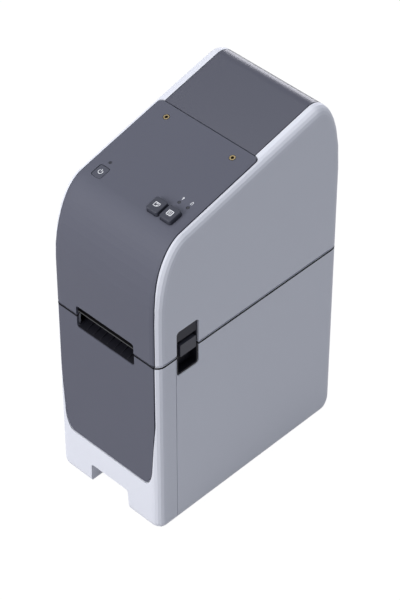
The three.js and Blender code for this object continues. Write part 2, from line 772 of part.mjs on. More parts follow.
function makeLamps() {
  for (const [name, x, y] of LAMPS) {
    const pipe = prismGeometry("z", circle(0, 0, LAMP_RADIUS, 14), -KEY_BOARD_DEPTH + GAP, -0.1);
    placeOnLid(piece(cover, name, finishes.lamp, solid(pipe)), x, y);
  }
}

function makeInserts() {
  bothSides((name, side) => {
    const ring = prismGeometry("z", circle(0, 0, INSERT_RADIUS, 16), -INSERT_LENGTH, 0.1, [
      circle(0, 0, INSERT_BORE, 16),
    ]);
    const insert = piece(cover, "brass_insert_" + name, finishes.brass, solid(ring));
    placeOnLid(insert, side * INSERT_X, INSERT_Y);
  });
}

function makeKeyBoard() {
  const plate = prismGeometry(
    "z",
    roundedRect(-KEY_BOARD_HALF, KEY_BOARD_HALF, KEY_BOARD_FRONT, KEY_BOARD_BACK, 2, 2),
    -KEY_BOARD_DEPTH - BOARD_THICK,
    -KEY_BOARD_DEPTH,
  );
  placeOnLid(piece(cover, "key_board", finishes.board, solid(plate)), 0, KEY_Y);
}

const TEAR_LEG_Y = FRONT_Y + LINER_INNER + GAP;
const BRACKET_FRONT_Y = TEAR_LEG_Y + TEAR_BAR_THICK + GAP;

function makeTearBar() {
  const half = EXIT_HALF - 0.5;
  const blade = box(
    -half,
    half,
    FRONT_Y + TEAR_BAR_SETBACK,
    TEAR_LEG_Y + TEAR_BAR_THICK,
    TEAR_BAR_Z - TEAR_BAR_THICK,
    TEAR_BAR_Z,
  );
  const leg = box(
    -half,
    half,
    TEAR_LEG_Y,
    TEAR_LEG_Y + TEAR_BAR_THICK,
    TEAR_BAR_Z - TEAR_BAR_THICK,
    TEAR_BAR_Z + TEAR_BAR_LEG,
  );
  piece(cover, "tear_bar", finishes.steel, join(blade, leg));
}

function makePlatenBracket() {
  const outside = BRACKET_INNER_X + BRACKET_THICK;
  const top = TEAR_BAR_Z + BRACKET_ABOVE_TEAR_BAR;
  let bracket = box(
    -outside,
    outside,
    BRACKET_FRONT_Y,
    BRACKET_FRONT_Y + BRACKET_BRIDGE,
    TEAR_BAR_Z + 10,
    top,
  );
  for (const side of [-1, 1]) {
    const cheek = sidePrism(
      side,
      [
        [BRACKET_FRONT_Y, SPLIT_Z + 3],
        [PLATEN_Y + 7, SPLIT_Z + 3],
        [PLATEN_Y + 7, PLATEN_Z + 6],
        [BRACKET_FRONT_Y + 6, top],
        [BRACKET_FRONT_Y, top],
      ],
      BRACKET_INNER_X,
      outside,
    );
    const bore = sideRod(side, PLATEN_Y, PLATEN_Z, BUSH_RADIUS + GAP, 0, FAR);
    bracket = cut(bracket.add(cheek), bore);
  }
  piece(cover, "platen_bracket", finishes.liner, bracket);
  bothSides((name, side) => {
    const x0 = BRACKET_INNER_X - 0.6;
    const x1 = outside + 0.6;
    const bush = tube(
      "x",
      PLATEN_Y,
      PLATEN_Z,
      BUSH_RADIUS,
      PLATEN_SHAFT_RADIUS + SEATED,
      Math.min(side * x0, side * x1),
      Math.max(side * x0, side * x1),
      20,
    );
    piece(cover, "platen_bush_" + name, finishes.gear, bush);
  });
}

// ---- Gears ----
// One involute gear centred on the origin in its own plane, with a tooth at the given angle.
function gearOutline(teeth, module, toothAt) {
  const pitch = (teeth * module) / 2;
  const baseR = pitch * Math.cos(PRESSURE_ANGLE);
  const tip = pitch + GEAR_ADDENDUM * module;
  const root = pitch - GEAR_DEDENDUM * module;
  const involute = (r) => Math.sqrt((r / baseR) ** 2 - 1) - Math.acos(baseR / r);
  const halfAtPitch = (Math.PI * module - GEAR_BACKLASH) / 2 / pitch / 2;
  const steps = 3;
  const flank = [];
  for (let i = 0; i <= steps; i++) {
    const r = baseR + ((tip - baseR) * i) / steps;
    flank.push([r, halfAtPitch + involute(pitch) - involute(Math.max(r, baseR))]);
  }
  if (root < baseR) flank.unshift([root, flank[0][1]]);
  const points = [];
  for (let n = 0; n < teeth; n++) {
    const middle = toothAt + (2 * Math.PI * n) / teeth;
    for (const [r, half] of flank) {
      points.push([r * Math.cos(middle - half), r * Math.sin(middle - half)]);
    }
    for (const [r, half] of [...flank].reverse()) {
      points.push([r * Math.cos(middle + half), r * Math.sin(middle + half)]);
    }
  }
  return points;
}

function gear(teeth, module, toothAt, bore, a, b, axis = "x") {
  return prism(axis, gearOutline(teeth, module, toothAt), a, b, [circle(0, 0, bore, 16)]);
}

const platenPitch = (PLATEN_TEETH * GEAR_MODULE) / 2;
const idlerPitch = (IDLER_TEETH * GEAR_MODULE) / 2;
const pinionPitch = (PINION_TEETH * GEAR_MODULE) / 2;
const CENTRE_SLACK = 0.12;
// The idler lies square to the line from the hinge to the platen, so the gears part cleanly.
const idlerBearing = Math.atan2(PLATEN_Z - SPLIT_Z, PLATEN_Y - HINGE_Y) + Math.PI / 2;
const platenToIdler = platenPitch + idlerPitch + CENTRE_SLACK;
const IDLER_Y = PLATEN_Y + platenToIdler * Math.cos(idlerBearing);
const IDLER_Z = PLATEN_Z + platenToIdler * Math.sin(idlerBearing);
const pinionBearing = (PINION_BEARING * Math.PI) / 180;
const idlerToPinion = idlerPitch + pinionPitch + CENTRE_SLACK;
const MOTOR_Y = IDLER_Y + idlerToPinion * Math.cos(pinionBearing);
const MOTOR_Z = IDLER_Z + idlerToPinion * Math.sin(pinionBearing);
// A tooth of the platen gear points at the idler, which has a gap there.
const idlerToothAt = idlerBearing + Math.PI + Math.PI / IDLER_TEETH;

function pinionToothAt() {
  const step = (2 * Math.PI) / IDLER_TEETH;
  const offset = idlerToothAt - pinionBearing;
  const nearest = offset - step * Math.round(offset / step);
  const shift = (nearest * idlerPitch) / pinionPitch;
  return pinionBearing + Math.PI - shift + Math.PI / PINION_TEETH;
}

function makePlaten() {
  const roller = piece(
    cover,
    "platen_roller",
    finishes.rubber,
    tube("x", 0, 0, PLATEN_RADIUS, PLATEN_SHAFT_RADIUS + SEATED, -PLATEN_HALF, PLATEN_HALF, 28),
  );
  const shaftEnd = GEAR_X + GEAR_WIDTH + 1.2;
  const shaft = piece(
    cover,
    "platen_shaft",
    finishes.steel,
    rod("x", 0, 0, PLATEN_SHAFT_RADIUS, -BRACKET_INNER_X - BRACKET_THICK - 2, shaftEnd, 20),
  );
  const wheel = piece(
    cover,
    "platen_gear",
    finishes.gear,
    gear(
      PLATEN_TEETH,
      GEAR_MODULE,
      idlerBearing,
      PLATEN_SHAFT_RADIUS + SEATED,
      GEAR_X,
      GEAR_X + GEAR_WIDTH,
    ),
  );
  for (const mesh of [roller, shaft, wheel]) mesh.position.set(0, PLATEN_Y, PLATEN_Z);
}

// ---- Release levers and latch ----
function makeBezels() {
  bothSides((name, side) => {
    const outside = HALF_W - BEZEL_INSET;
    const inside = outside - BEZEL_THICK;
    const ring = sidePrism(
      side,
      recessOutline(-GAP, SPLIT_Z - PAST_SPLIT, RECESS_TOP_Z),
      inside,
      outside,
    ).intersect(box(-FAR, FAR, -FAR, FAR, COVER_BOTTOM + 0.2, FAR));
    const hole = sideBox(
      side,
      inside - 1,
      outside + 1,
      RECESS_FRONT_Y + 2,
      RECESS_BACK_Y - 1.3,
      0,
      GRIP_TOP_Z + GRIP_LIFT,
    );
    piece(cover, "release_bezel_" + name, finishes.liner, cut(ring, hole));
  });
}

function makeLatch() {
  const shaftReach = HALF_W - LINER_INSET - 0.3;
  const shaft = rod("x", LATCH_Y, LATCH_Z, LATCH_SHAFT_RADIUS, -shaftReach, shaftReach, 20);
  piece(cover, "latch_shaft", finishes.steel, shaft);
  const armIn = HALF_W - LATCH_ARM_INSET;
  const armOut = HALF_W - LINER_INNER - 0.6;
  const face = HALF_W - GRIP_INSET;
  bothSides((name, side) => {
    const grip = sidePrism(
      side,
      roundedRect(GRIP_FRONT_Y, GRIP_BACK_Y, GRIP_BOTTOM_Z, GRIP_TOP_Z, 0.8, 2),
      face - GRIP_THICK,
      face,
    );
    const neck = sideBox(
      side,
      armIn,
      face - 2,
      GRIP_FRONT_Y + 4,
      GRIP_BACK_Y - 1,
      COVER_BOTTOM + 1.5,
      GRIP_TOP_Z - 1.5,
    );
    const arm = sidePrism(
      side,
      [
        [GRIP_BACK_Y - 8, COVER_BOTTOM + 1.5],
        [LATCH_Y, LATCH_Z - LATCH_EYE_RADIUS],
        [LATCH_Y, LATCH_Z + LATCH_EYE_RADIUS],
        [GRIP_BACK_Y - 8, GRIP_TOP_Z - 1.5],
      ],
      armIn,
      armOut,
    );
    const eye = sideRod(side, LATCH_Y, LATCH_Z, LATCH_EYE_RADIUS, armIn, armOut, 20);
    const hookBack = STRIKER_FRONT_Y - GAP;
    const hook = sidePrism(
      side,
      [
        [LATCH_Y - 3, LATCH_Z],
        [LATCH_Y - 3, LATCH_HOOK_Z - 3],
        [LATCH_Y + 0.5, LATCH_HOOK_Z - 3],
        [hookBack, LATCH_HOOK_Z],
        [hookBack, LATCH_HOOK_Z + 1.5],
        [LATCH_Y + 1.5, LATCH_HOOK_Z + 1.5],
        [LATCH_Y + 1.5, LATCH_Z],
      ],
      armIn,
      armOut,
    );
    const bore = sideRod(side, LATCH_Y, LATCH_Z, LATCH_SHAFT_RADIUS + SEATED, 0, FAR, 20);
    const lever = cut(join(grip, neck, arm, eye, hook), bore);
    piece(cover, "release_lever_" + name, finishes.panel, lever);
  });
}

// ---- Base: casing ----
const baseInside = inner.intersect(
  box(-FAR, FAR, FRONT_Y + LOWER_PANEL_RECESS + LOWER_PANEL_THICK + GAP + FRONT_BACKING, FAR, -FAR, FAR),
);

function channelOutline(grow) {
  const top = FOOT_HEIGHT + CHANNEL_HEIGHT + grow;
  const right = [
    ...arc(
      CHANNEL_HALF + CHANNEL_FLARE + grow,
      FOOT_HEIGHT + CHANNEL_FLARE - 3,
      CHANNEL_FLARE - 1.5,
      CHANNEL_FLARE - 3,
      270,
      180,
      5,
    ).filter(([, z]) => z > FOOT_HEIGHT + 0.01),
    [CHANNEL_HALF + 0.6 + grow, top - 1.4],
    [CHANNEL_HALF - 0.8 + grow, top],
  ];
  const sill = CHANNEL_HALF + CHANNEL_FLARE + 2 + grow;
  const half = [[sill, FOOT_HEIGHT - 20], [sill, FOOT_HEIGHT], ...right];
  return [...half, ...half.map(([x, z]) => [-x, z]).reverse()];
}

function baseCasing() {
  const body = outer.intersect(below);
  const roof = prism("y", channelOutline(WALL), FRONT_Y, CHANNEL_END_Y + WALL);
  const channel = prism("y", channelOutline(0), FRONT_Y - 1, CHANNEL_END_Y);
  return cut(cut(body, cut(baseInside, roof)), channel);
}

function footPlaces() {
  const x = HALF_W - 14;
  return [
    ["rubber_foot_front_left", -x, FRONT_Y + 32],
    ["rubber_foot_front_right", x, FRONT_Y + 32],
    ["rubber_foot_rear_left", -x, REAR_Y - 26],
    ["rubber_foot_rear_right", x, REAR_Y - 26],
  ];
}
const FOOT_RADIUS = 6;
const FOOT_SEAT = 1.2;

function makeCasing() {
  let casing = baseCasing();
  for (const [, x, y] of footPlaces()) {
    const seat = rod("z", x, y, FOOT_RADIUS + GAP, FOOT_HEIGHT - 1, FOOT_HEIGHT + FOOT_SEAT, 20);
    casing = cut(casing, seat);
  }
  const seam = SIDE_SEAM_GAP / 2;
  const frontHalf = box(-FAR, FAR, -FAR, SIDE_SEAM_Y - seam, -FAR, FAR);
  const rearHalf = box(-FAR, FAR, SIDE_SEAM_Y + seam, FAR, -FAR, FAR);

  let front = casing.intersect(frontHalf);
  const recessBack = FRONT_Y + LOWER_PANEL_RECESS + LOWER_PANEL_THICK + GAP;
  front = cut(front, prism("y", lowerPanelOutline(PANEL_GAP / 2), FRONT_Y - 1, recessBack));
  const exitHalf = EXIT_HALF + 1;
  const exitCut = box(-exitHalf, exitHalf, FRONT_Y - 1, FRONT_Y + 20, EXIT_BOTTOM_Z - 2.4, FAR);
  piece(base, "front_shell", finishes.casing, cut(front, exitCut));

  const whole = casing.intersect(rearHalf);
  const plateHalf = HALF_W - PLATE_RIM;
  const plateBack = REAR_Y - PLATE_RIM_BACK;
  const plateTop = FOOT_HEIGHT + CHANNEL_HEIGHT + 2 * WALL;
  const plateZone = (grow) =>
    box(-plateHalf - grow, plateHalf + grow, SIDE_SEAM_Y, plateBack + grow, -FAR, plateTop);
  let plate = whole.intersect(plateZone(0));
  for (const x of [-STANDOFF_X, STANDOFF_X]) {
    for (const y of [BOARD_FRONT_Y + 8, BOARD_BACK_Y - 10]) {
      const low = FOOT_HEIGHT + WALL - 0.5;
      plate = plate.add(rod("z", x, y, STANDOFF_RADIUS, low, MAIN_BOARD_Z - 0.3, 12));
    }
  }
  piece(base, "bottom_plate", finishes.casing, plate);

  let rear = cut(whole, plateZone(GAP));
  for (const side of [-1, 1]) {
    const hole = recessOutline(0, RECESS_BOTTOM_Z, SPLIT_Z + PAST_SPLIT);
    rear = cut(rear, sidePrism(side, hole, HALF_W - WALL - 1, HALF_W + 1));
  }
  const panelHole = roundedRect(
    -SOCKET_PANEL_HALF,
    SOCKET_PANEL_HALF,
    SOCKET_PANEL_LOW,
    SOCKET_PANEL_HIGH,
    2,
  );
  rear = cut(rear, prism("y", panelHole, REAR_Y - WALL - 1, FAR));
  piece(base, "main_housing", finishes.casing, addKnuckles(rear, -1));
}

// A flush plate in the back wall, with a cut-out for each socket.
function makeSocketPanel() {
  const half = SOCKET_PANEL_HALF - GAP;
  const low = SOCKET_PANEL_LOW + GAP;
  const high = SOCKET_PANEL_HIGH - GAP;
  const outline = roundedRect(-half, half, low, high, 1.6);
  let panel = prism("y", outline, REAR_Y - WALL, REAR_Y - 0.4);
  for (const [, x, width, height] of SOCKETS) {
    const reach = width / 2 + GAP;
    const z0 = MAIN_BOARD_Z + BOARD_THICK;
    panel = cut(panel, box(x - reach, x + reach, REAR_Y - 10, FAR, z0, z0 + height + 2 * GAP));
  }
  piece(base, "socket_panel", finishes.panel, panel);
}

function makeLowerPanel() {
  const front = FRONT_Y + LOWER_PANEL_RECESS;
  let panel = prism("y", lowerPanelOutline(-PANEL_GAP / 2), front, front + LOWER_PANEL_THICK);
  panel = panel.intersect(below);
  panel = cut(panel, exitNotch(EXIT_BOTTOM_Z, SPLIT_Z + PAST_SPLIT, EXIT_CORNER, 0));
  piece(base, "lower_front_panel", finishes.panel, panel);
}

function makeFeet() {
  for (const [name, x, y] of footPlaces()) {
    const foot = rod("z", x, y, FOOT_RADIUS, 0, FOOT_HEIGHT + FOOT_SEAT - 0.3, 20);
    piece(base, name, finishes.rubber, foot);
  }
}

function makeHingePins() {
  bothSides((name, side) => {
    const reach = HINGE_ENDS + KNUCKLE_LENGTH;
    const x = side * HINGE_X;
    const pin = rod("x", HINGE_Y, SPLIT_Z, HINGE_PIN_RADIUS, x - reach, x + reach, 16);
    piece(base, "hinge_pin_" + name, finishes.steel, pin);
  });
}

// ---- Base: label exit ----
const EXIT_BACK_Y = FRONT_Y + LOWER_PANEL_RECESS + 0.4 + LEDGE_DEPTH;

function makeExitGuide() {
  const half = EXIT_HALF - GAP;
  const front = FRONT_Y + LOWER_PANEL_RECESS + 0.4;
  const low = EXIT_BOTTOM_Z + GAP;
  const back = EXIT_BACK_Y + 1.8;
  const behindPanel = FRONT_Y + LOWER_PANEL_RECESS + LOWER_PANEL_THICK + GAP;
  let guide = prism(
    "x",
    [
      [front, low + 0.5],
      [front, low],
      [behindPanel, low],
      [behindPanel, low - 1.5],
      [back, low - 1.5],
      [back, BASE_TOP + 0.8],
      [EXIT_BACK_Y, BASE_TOP + 0.8],
      [EXIT_BACK_Y, low + LEDGE_RISE],
    ],
    -half,
    half,
  );
  for (let i = 0; i < RIB_COUNT; i++) {
    const x = -half + RIB_THICK + ((2 * half - 2 * RIB_THICK) * i) / (RIB_COUNT - 1);
    const rib = prism(
      "x",
      [
        [front + 0.6, low - 0.1],
        [EXIT_BACK_Y + 0.1, low + LEDGE_RISE - 0.2],
        [EXIT_BACK_Y + 0.1, low + LEDGE_RISE + RIB_HEIGHT],
        [front + 1.6, low + RIB_HEIGHT],
      ],
      x - RIB_THICK / 2,
      x + RIB_THICK / 2,
    );
    guide = guide.add(rib);
  }
  const mouth = roundedRect(-half, half, low, SPLIT_Z + PAST_SPLIT, EXIT_CORNER - GAP);
  const allowed = prism("y", mouth, -FAR, FAR).add(box(-FAR, FAR, behindPanel, FAR, -FAR, FAR));
  piece(base, "label_exit_guide", finishes.black, guide.intersect(allowed));
}

// ---- Base: finger cups below the release levers ----
function makeCups() {
  bothSides((name, side) => {
    const outline = recessOutline(-GAP, RECESS_BOTTOM_Z, SPLIT_Z + PAST_SPLIT);
    const hollow = recessOutline(-GAP - CUP_WALL, RECESS_BOTTOM_Z, SPLIT_Z + 20);
    const x1 = HALF_W - CUP_INSET;
    const x0 = x1 - CUP_DEPTH;
    const body = sidePrism(side, outline, x0, x1);
    const space = sidePrism(side, hollow, x0 + CUP_WALL, HALF_W + 1);
    const top = box(-FAR, FAR, -FAR, FAR, BASE_TOP - 0.2, FAR);
    piece(base, "finger_cup_" + name, finishes.black, cut(body, space, top));
  });
}

// ---- Base: printing mechanism ----
const HEAD_TOP = PLATEN_Z - PLATEN_RADIUS - GAP;
const HEAD_FRONT_Y = EXIT_BACK_Y + 1.8 + GAP;
const HEAD_BACK_Y = PLATEN_Y + 8;
const SINK_TOP = HEAD_TOP - HEAD_THICK - 0.3;
const SINK_BOTTOM = SINK_TOP - HEAT_SINK_HEIGHT;
const SHELF_TOP = SINK_BOTTOM - HEAD_SPRING_HEIGHT - 0.6;

function makePrintFrame() {
  const low = FOOT_HEIGHT + WALL + GAP;
  const legFront = MOTOR_Y - 4;
  const legBack = legFront + 22;
  const shelf = box(
    -FRAME_X - 0.5,
    FRAME_X + 0.5,
    HEAD_FRONT_Y,
    HEAD_BACK_Y + 14,
    SHELF_TOP - FRAME_THICK,
    SHELF_TOP,
  );
  let frame = shelf;
  for (const side of [-1, 1]) {
    const plate = sidePrism(
      side,
      [
        [HEAD_FRONT_Y, SHELF_TOP - 14],
        [legFront, MOTOR_Z - MOTOR_SIZE],
        [legFront, low],
        [legBack, low],
        [legBack, MOTOR_Z - MOTOR_SIZE],
        [STRIKER_FRONT_Y + 4, SHELF_TOP - 6],
        [STRIKER_FRONT_Y + 4, LATCH_HOOK_Z + 6],
        [HEAD_BACK_Y, BASE_TOP],
        [HEAD_FRONT_Y, BASE_TOP],
      ],
      FRAME_X,
      FRAME_X + FRAME_THICK,
    );
    const striker = sideBox(
      side,
      FRAME_X + 0.5,
      HALF_W - LINER_INNER - 0.6,
      STRIKER_FRONT_Y,
      STRIKER_FRONT_Y + 2,
      LATCH_HOOK_Z + 1.9,
      LATCH_HOOK_Z + 4,
    );
    frame = join(frame, plate, striker);
  }
  const shaftHole = rod("x", MOTOR_Y, MOTOR_Z, MOTOR_BOSS_RADIUS + 2 * SEATED, 0, FAR);
  const axleHole = rod("x", IDLER_Y, IDLER_Z, IDLER_AXLE_RADIUS + SEATED, 0, FAR);
  piece(base, "print_frame", finishes.steel, cut(frame, shaftHole, axleHole));
}

function makePrintHead() {
  const half = FRAME_X - 3;
  const plate = box(-half, half, HEAD_FRONT_Y, HEAD_BACK_Y, HEAD_TOP - HEAD_THICK, HEAD_TOP);
  piece(base, "thermal_print_head", finishes.head, plate);
  let sink = box(
    -half,
    half,
    HEAD_FRONT_Y + 0.6,
    HEAD_BACK_Y - 0.6,
    SINK_BOTTOM,
    SINK_TOP,
  );
  const finGap = 2;
  for (let x = -half + 6; x < half - 6; x += 8) {
    if (Math.abs(Math.abs(x + finGap / 2) - 20) < 6) continue;
    const slot = box(x, x + finGap, -FAR, FAR, SINK_BOTTOM - 1, SINK_TOP - 1.6);
    sink = cut(sink, slot);
  }
  piece(base, "head_heat_sink", finishes.aluminium, sink);
}

class Coil extends THREE.Curve {
  getPoint(t, target = new THREE.Vector3()) {
    const turn = 2 * Math.PI * HEAD_SPRING_TURNS * t;
    const usable = HEAD_SPRING_HEIGHT - 2 * HEAD_SPRING_WIRE;
    return target.set(
      HEAD_SPRING_RADIUS * Math.cos(turn),
      HEAD_SPRING_RADIUS * Math.sin(turn),
      HEAD_SPRING_WIRE + usable * t,
    );
  }
}

function makeHeadSprings() {
  bothSides((name, side) => {
    const wire = new THREE.Shape(
      circle(0, 0, HEAD_SPRING_WIRE, 6).map(([u, v]) => new THREE.Vector2(u, v)),
    );
    const coil = new THREE.ExtrudeGeometry(wire, {
      steps: 14 * HEAD_SPRING_TURNS,
      extrudePath: new Coil(),
      bevelEnabled: false,
    });
    const spring = piece(base, "head_spring_" + name, finishes.steel, solid(coil));
    spring.position.set(side * 20, PLATEN_Y, SHELF_TOP + 0.3);
  });
}

function makeDrive() {
  const half = MOTOR_SIZE / 2;
  const x1 = FRAME_X - GAP;
  const can = prism(
    "x",
    roundedRect(MOTOR_Y - half, MOTOR_Y + half, MOTOR_Z - half, MOTOR_Z + half, 4, 3),
    x1 - MOTOR_LENGTH,
    x1,
  );
  const boss = rod("x", MOTOR_Y, MOTOR_Z, MOTOR_BOSS_RADIUS, x1 - 1, FRAME_X + FRAME_THICK);
  piece(base, "feed_motor", finishes.aluminium, can.add(boss));

  const pinion = piece(
    base,
    "motor_pinion",
    finishes.gear,
    prism(
      "x",
      gearOutline(PINION_TEETH, GEAR_MODULE, pinionToothAt()),
      FRAME_X + FRAME_THICK + GAP,
      GEAR_X + GEAR_WIDTH + 0.6,
    ),
  );
  pinion.position.set(0, MOTOR_Y, MOTOR_Z);

  const axle = rod("x", IDLER_Y, IDLER_Z, IDLER_AXLE_RADIUS, FRAME_X, GEAR_X + GEAR_WIDTH + 1.4, 16);
  piece(base, "idler_axle", finishes.steel, axle);
  const idler = piece(
    base,
    "idler_gear",
    finishes.gear,
    gear(IDLER_TEETH, GEAR_MODULE, idlerToothAt, IDLER_AXLE_RADIUS + GAP, GEAR_X, GEAR_X + GEAR_WIDTH),
  );
  idler.position.set(0, IDLER_Y, IDLER_Z);

  const sensor = join(
    box(-9, 9, HEAD_BACK_Y + 4, HEAD_BACK_Y + 11, SHELF_TOP + 0.3, SHELF_TOP + 7),
    box(-4, 4, HEAD_BACK_Y + 5, HEAD_BACK_Y + 10, SHELF_TOP + 6, SHELF_TOP + 9),
  );
  piece(base, "gap_sensor", finishes.black, sensor);
}

// ---- Base: label roll, guides and tray ----
const RACK_Z = TRAY_Z - GAP - RACK_HEIGHT;
const rackPitch = (RACK_TEETH * RACK_MODULE) / 2;
const NECK_FRONT = rackPitch + 0.8;
const NECK_BACK = rackPitch + 9;

function makeTray() {
  let tray = linerOuter.intersect(
    box(-FAR, FAR, ROLL_Y - ROLL_RADIUS - 8, FAR, TRAY_Z, TRAY_Z + TRAY_THICK),
  );
  const foot = ROLL_Y - ROLL_RADIUS - 6;
  const ramp = prism(
    "x",
    [
      [foot, TRAY_Z],
      [foot + 2.2, TRAY_Z],
      [STRIKER_FRONT_Y - 11, BASE_TOP - 3],
      [STRIKER_FRONT_Y - 13.2, BASE_TOP - 3],
    ],
    -FRAME_X + 1.5,
    FRAME_X - 1.5,
  );
  tray = tray.add(ramp);
  for (const side of [-1, 1]) {
    const y0 = ROLL_Y + (side < 0 ? NECK_FRONT : -NECK_BACK) - GAP;
    const y1 = ROLL_Y + (side < 0 ? NECK_BACK : -NECK_FRONT) + GAP;
    const inside = ROLL_HALF + GAP;
    const outside = ROLL_HALF + 2 * GAP + GUIDE_THICK + GUIDE_TRAVEL + GAP;
    tray = cut(tray, sideBox(side, inside, outside, y0, y1, TRAY_Z - 1, TRAY_Z + TRAY_THICK + 1));
  }
  const pivot = rod("z", 0, ROLL_Y, PIVOT_RADIUS, RACK_Z - 1, TRAY_Z + 1, 16);
  piece(base, "roll_tray", finishes.liner, tray.add(pivot));
}

// A rack along X, drawn with its teeth pointing at the pinion from the +Y side.
function rackOutline(from, to, back) {
  const pitch = Math.PI * RACK_MODULE;
  const atPitch = pitch / 4 - GEAR_BACKLASH / 2;
  const lean = RACK_MODULE * Math.tan(PRESSURE_ANGLE);
  const tipHalf = atPitch - GEAR_ADDENDUM * lean;
  const rootHalf = atPitch + GEAR_DEDENDUM * lean;
  const tipY = rackPitch + CENTRE_SLACK - GEAR_ADDENDUM * RACK_MODULE;
  const rootY = rackPitch + CENTRE_SLACK + GEAR_DEDENDUM * RACK_MODULE;
  const points = [
    [to, back],
    [from, back],
    [from, rootY],
  ];
  const first = Math.ceil((from + rootHalf) / pitch - 0.5);
  for (let n = first; (n + 0.5) * pitch + rootHalf < to; n++) {
    const x = (n + 0.5) * pitch;
    points.push([x - rootHalf, rootY], [x - tipHalf, tipY], [x + tipHalf, tipY], [x + rootHalf, rootY]);
  }
  points.push([to, rootY]);
  return points;
}

function makeGuides() {
  const faceX = ROLL_HALF + GAP;
  const hubRadius = CORE_BORE - 0.6;
  bothSides((name, side) => {
    const plate = sidePrism(
      side,
      [
        [ROLL_Y - GUIDE_RADIUS, TRAY_Z + TRAY_THICK + GAP],
        [ROLL_Y + GUIDE_RADIUS, TRAY_Z + TRAY_THICK + GAP],
        ...arc(ROLL_Y, ROLL_Z, GUIDE_RADIUS, GUIDE_RADIUS, 0, 180, 12),
      ],
      faceX,
      faceX + GUIDE_THICK,
    );
    const hub = sideRod(side, ROLL_Y, ROLL_Z, hubRadius, faceX - GUIDE_HUB_LENGTH, faceX + 1, 24);
    const turn = side < 0 ? 1 : -1;
    const y0 = ROLL_Y + turn * NECK_FRONT;
    const y1 = ROLL_Y + turn * NECK_BACK;
    const neck = sideBox(
      side,
      faceX,
      faceX + GUIDE_THICK,
      Math.min(y0, y1),
      Math.max(y0, y1),
      RACK_Z,
      TRAY_Z + TRAY_THICK + GAP + 1,
    );
    // Seen from the pinion both racks are the same piece, turned half round for the right one.
    const rack = prismGeometry(
      "z",
      rackOutline(-faceX - GUIDE_THICK, 18, NECK_BACK - 3),
      RACK_Z,
      RACK_Z + RACK_HEIGHT,
    );
    if (side > 0) rack.rotateZ(Math.PI);
    rack.translate(0, ROLL_Y, 0);
    piece(base, "roll_guide_" + name, finishes.panel, join(plate, hub, neck, solid(rack)));
  });
  const toothAt = Math.PI / 2;
  const pinion = piece(
    base,
    "guide_pinion",
    finishes.gear,
    gear(RACK_TEETH, RACK_MODULE, toothAt, PIVOT_RADIUS + RUNNING, RACK_Z, RACK_Z + RACK_HEIGHT, "z"),
  );
  pinion.position.set(0, ROLL_Y, 0);
}

function makeRoll() {
  const labels = tube("x", 0, 0, ROLL_RADIUS, CORE_RADIUS + 0.3, -ROLL_HALF, ROLL_HALF, 48);
  const core = tube("x", 0, 0, CORE_RADIUS, CORE_BORE, -ROLL_HALF, ROLL_HALF, 32);
  const roll = piece(base, "label_roll", finishes.paper, labels);
  const middle = piece(base, "roll_core", finishes.card, core);
  for (const mesh of [roll, middle]) mesh.position.set(0, ROLL_Y, ROLL_Z);
}

// ---- Base: electronics ----
function makeElectronics() {
  const board = box(-46, 46, BOARD_FRONT_Y, BOARD_BACK_Y, MAIN_BOARD_Z, MAIN_BOARD_Z + BOARD_THICK);
  piece(base, "main_board", finishes.board, board);
  const y1 = REAR_Y - 0.8;
  const z0 = MAIN_BOARD_Z + BOARD_THICK + GAP;
  for (const [name, x, width, height, depth, openWidth, openHeight] of SOCKETS) {
    const half = width / 2;
    const middle = z0 + height / 2;
    let socket = box(x - half, x + half, y1 - depth, y1, z0, z0 + height);
    if (openWidth > 0) {
      socket = cut(
        socket,
        box(
          x - openWidth / 2,
          x + openWidth / 2,
          y1 - depth + SOCKET_BACK_WALL,
          FAR,
          middle - openHeight / 2,
          middle + openHeight / 2,
        ),
      );
    } else {
      const low = y1 - depth + SOCKET_BACK_WALL;
      socket = cut(socket, tube("y", x, middle, JACK_BORE, JACK_PIN, low, y1 + 1, 16));
    }
    piece(base, name, finishes.black, socket);
  }
}

makeCoverShell();
makeUpperPanel();
makeWindow();
makeCoverLiner();
makeKeys();
makeLamps();
makeInserts();
makeKeyBoard();
makeTearBar();
makePlatenBracket();
makePlaten();
makeBezels();
makeLatch();
makeCasing();
makeSocketPanel();
makeLowerPanel();
makeFeet();
makeHingePins();
makeExitGuide();
makeCups();
makePrintFrame();
makePrintHead();
makeHeadSprings();
makeDrive();
makeTray();
makeGuides();
makeRoll();
makeElectronics();

export default printer;
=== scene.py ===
import math
import bpy
import bmesh
from mathutils import Matrix, Vector


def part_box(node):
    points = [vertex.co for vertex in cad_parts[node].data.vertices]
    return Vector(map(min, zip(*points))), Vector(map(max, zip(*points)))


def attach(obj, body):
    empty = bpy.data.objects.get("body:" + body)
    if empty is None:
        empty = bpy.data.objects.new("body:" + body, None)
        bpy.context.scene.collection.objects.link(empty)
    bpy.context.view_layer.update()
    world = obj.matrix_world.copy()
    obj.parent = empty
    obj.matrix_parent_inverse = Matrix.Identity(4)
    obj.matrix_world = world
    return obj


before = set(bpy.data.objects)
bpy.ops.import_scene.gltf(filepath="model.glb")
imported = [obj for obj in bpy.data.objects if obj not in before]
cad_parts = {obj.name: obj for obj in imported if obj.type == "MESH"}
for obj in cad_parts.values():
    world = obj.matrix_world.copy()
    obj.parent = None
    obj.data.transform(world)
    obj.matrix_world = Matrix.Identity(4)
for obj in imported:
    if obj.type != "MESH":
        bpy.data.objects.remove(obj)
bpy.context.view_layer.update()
print("frame loaded:", len(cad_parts), "nodes")

mm = 0.001
lidRisePerRun = 0.2432
lidSlope = math.atan(lidRisePerRun)
lidNormal = Vector((0, -math.sin(lidSlope), math.cos(lidSlope)))
jointHeight = (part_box("front_shell")[1].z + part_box("cover_shell")[0].z) / 2


# shader groups that several finishes share

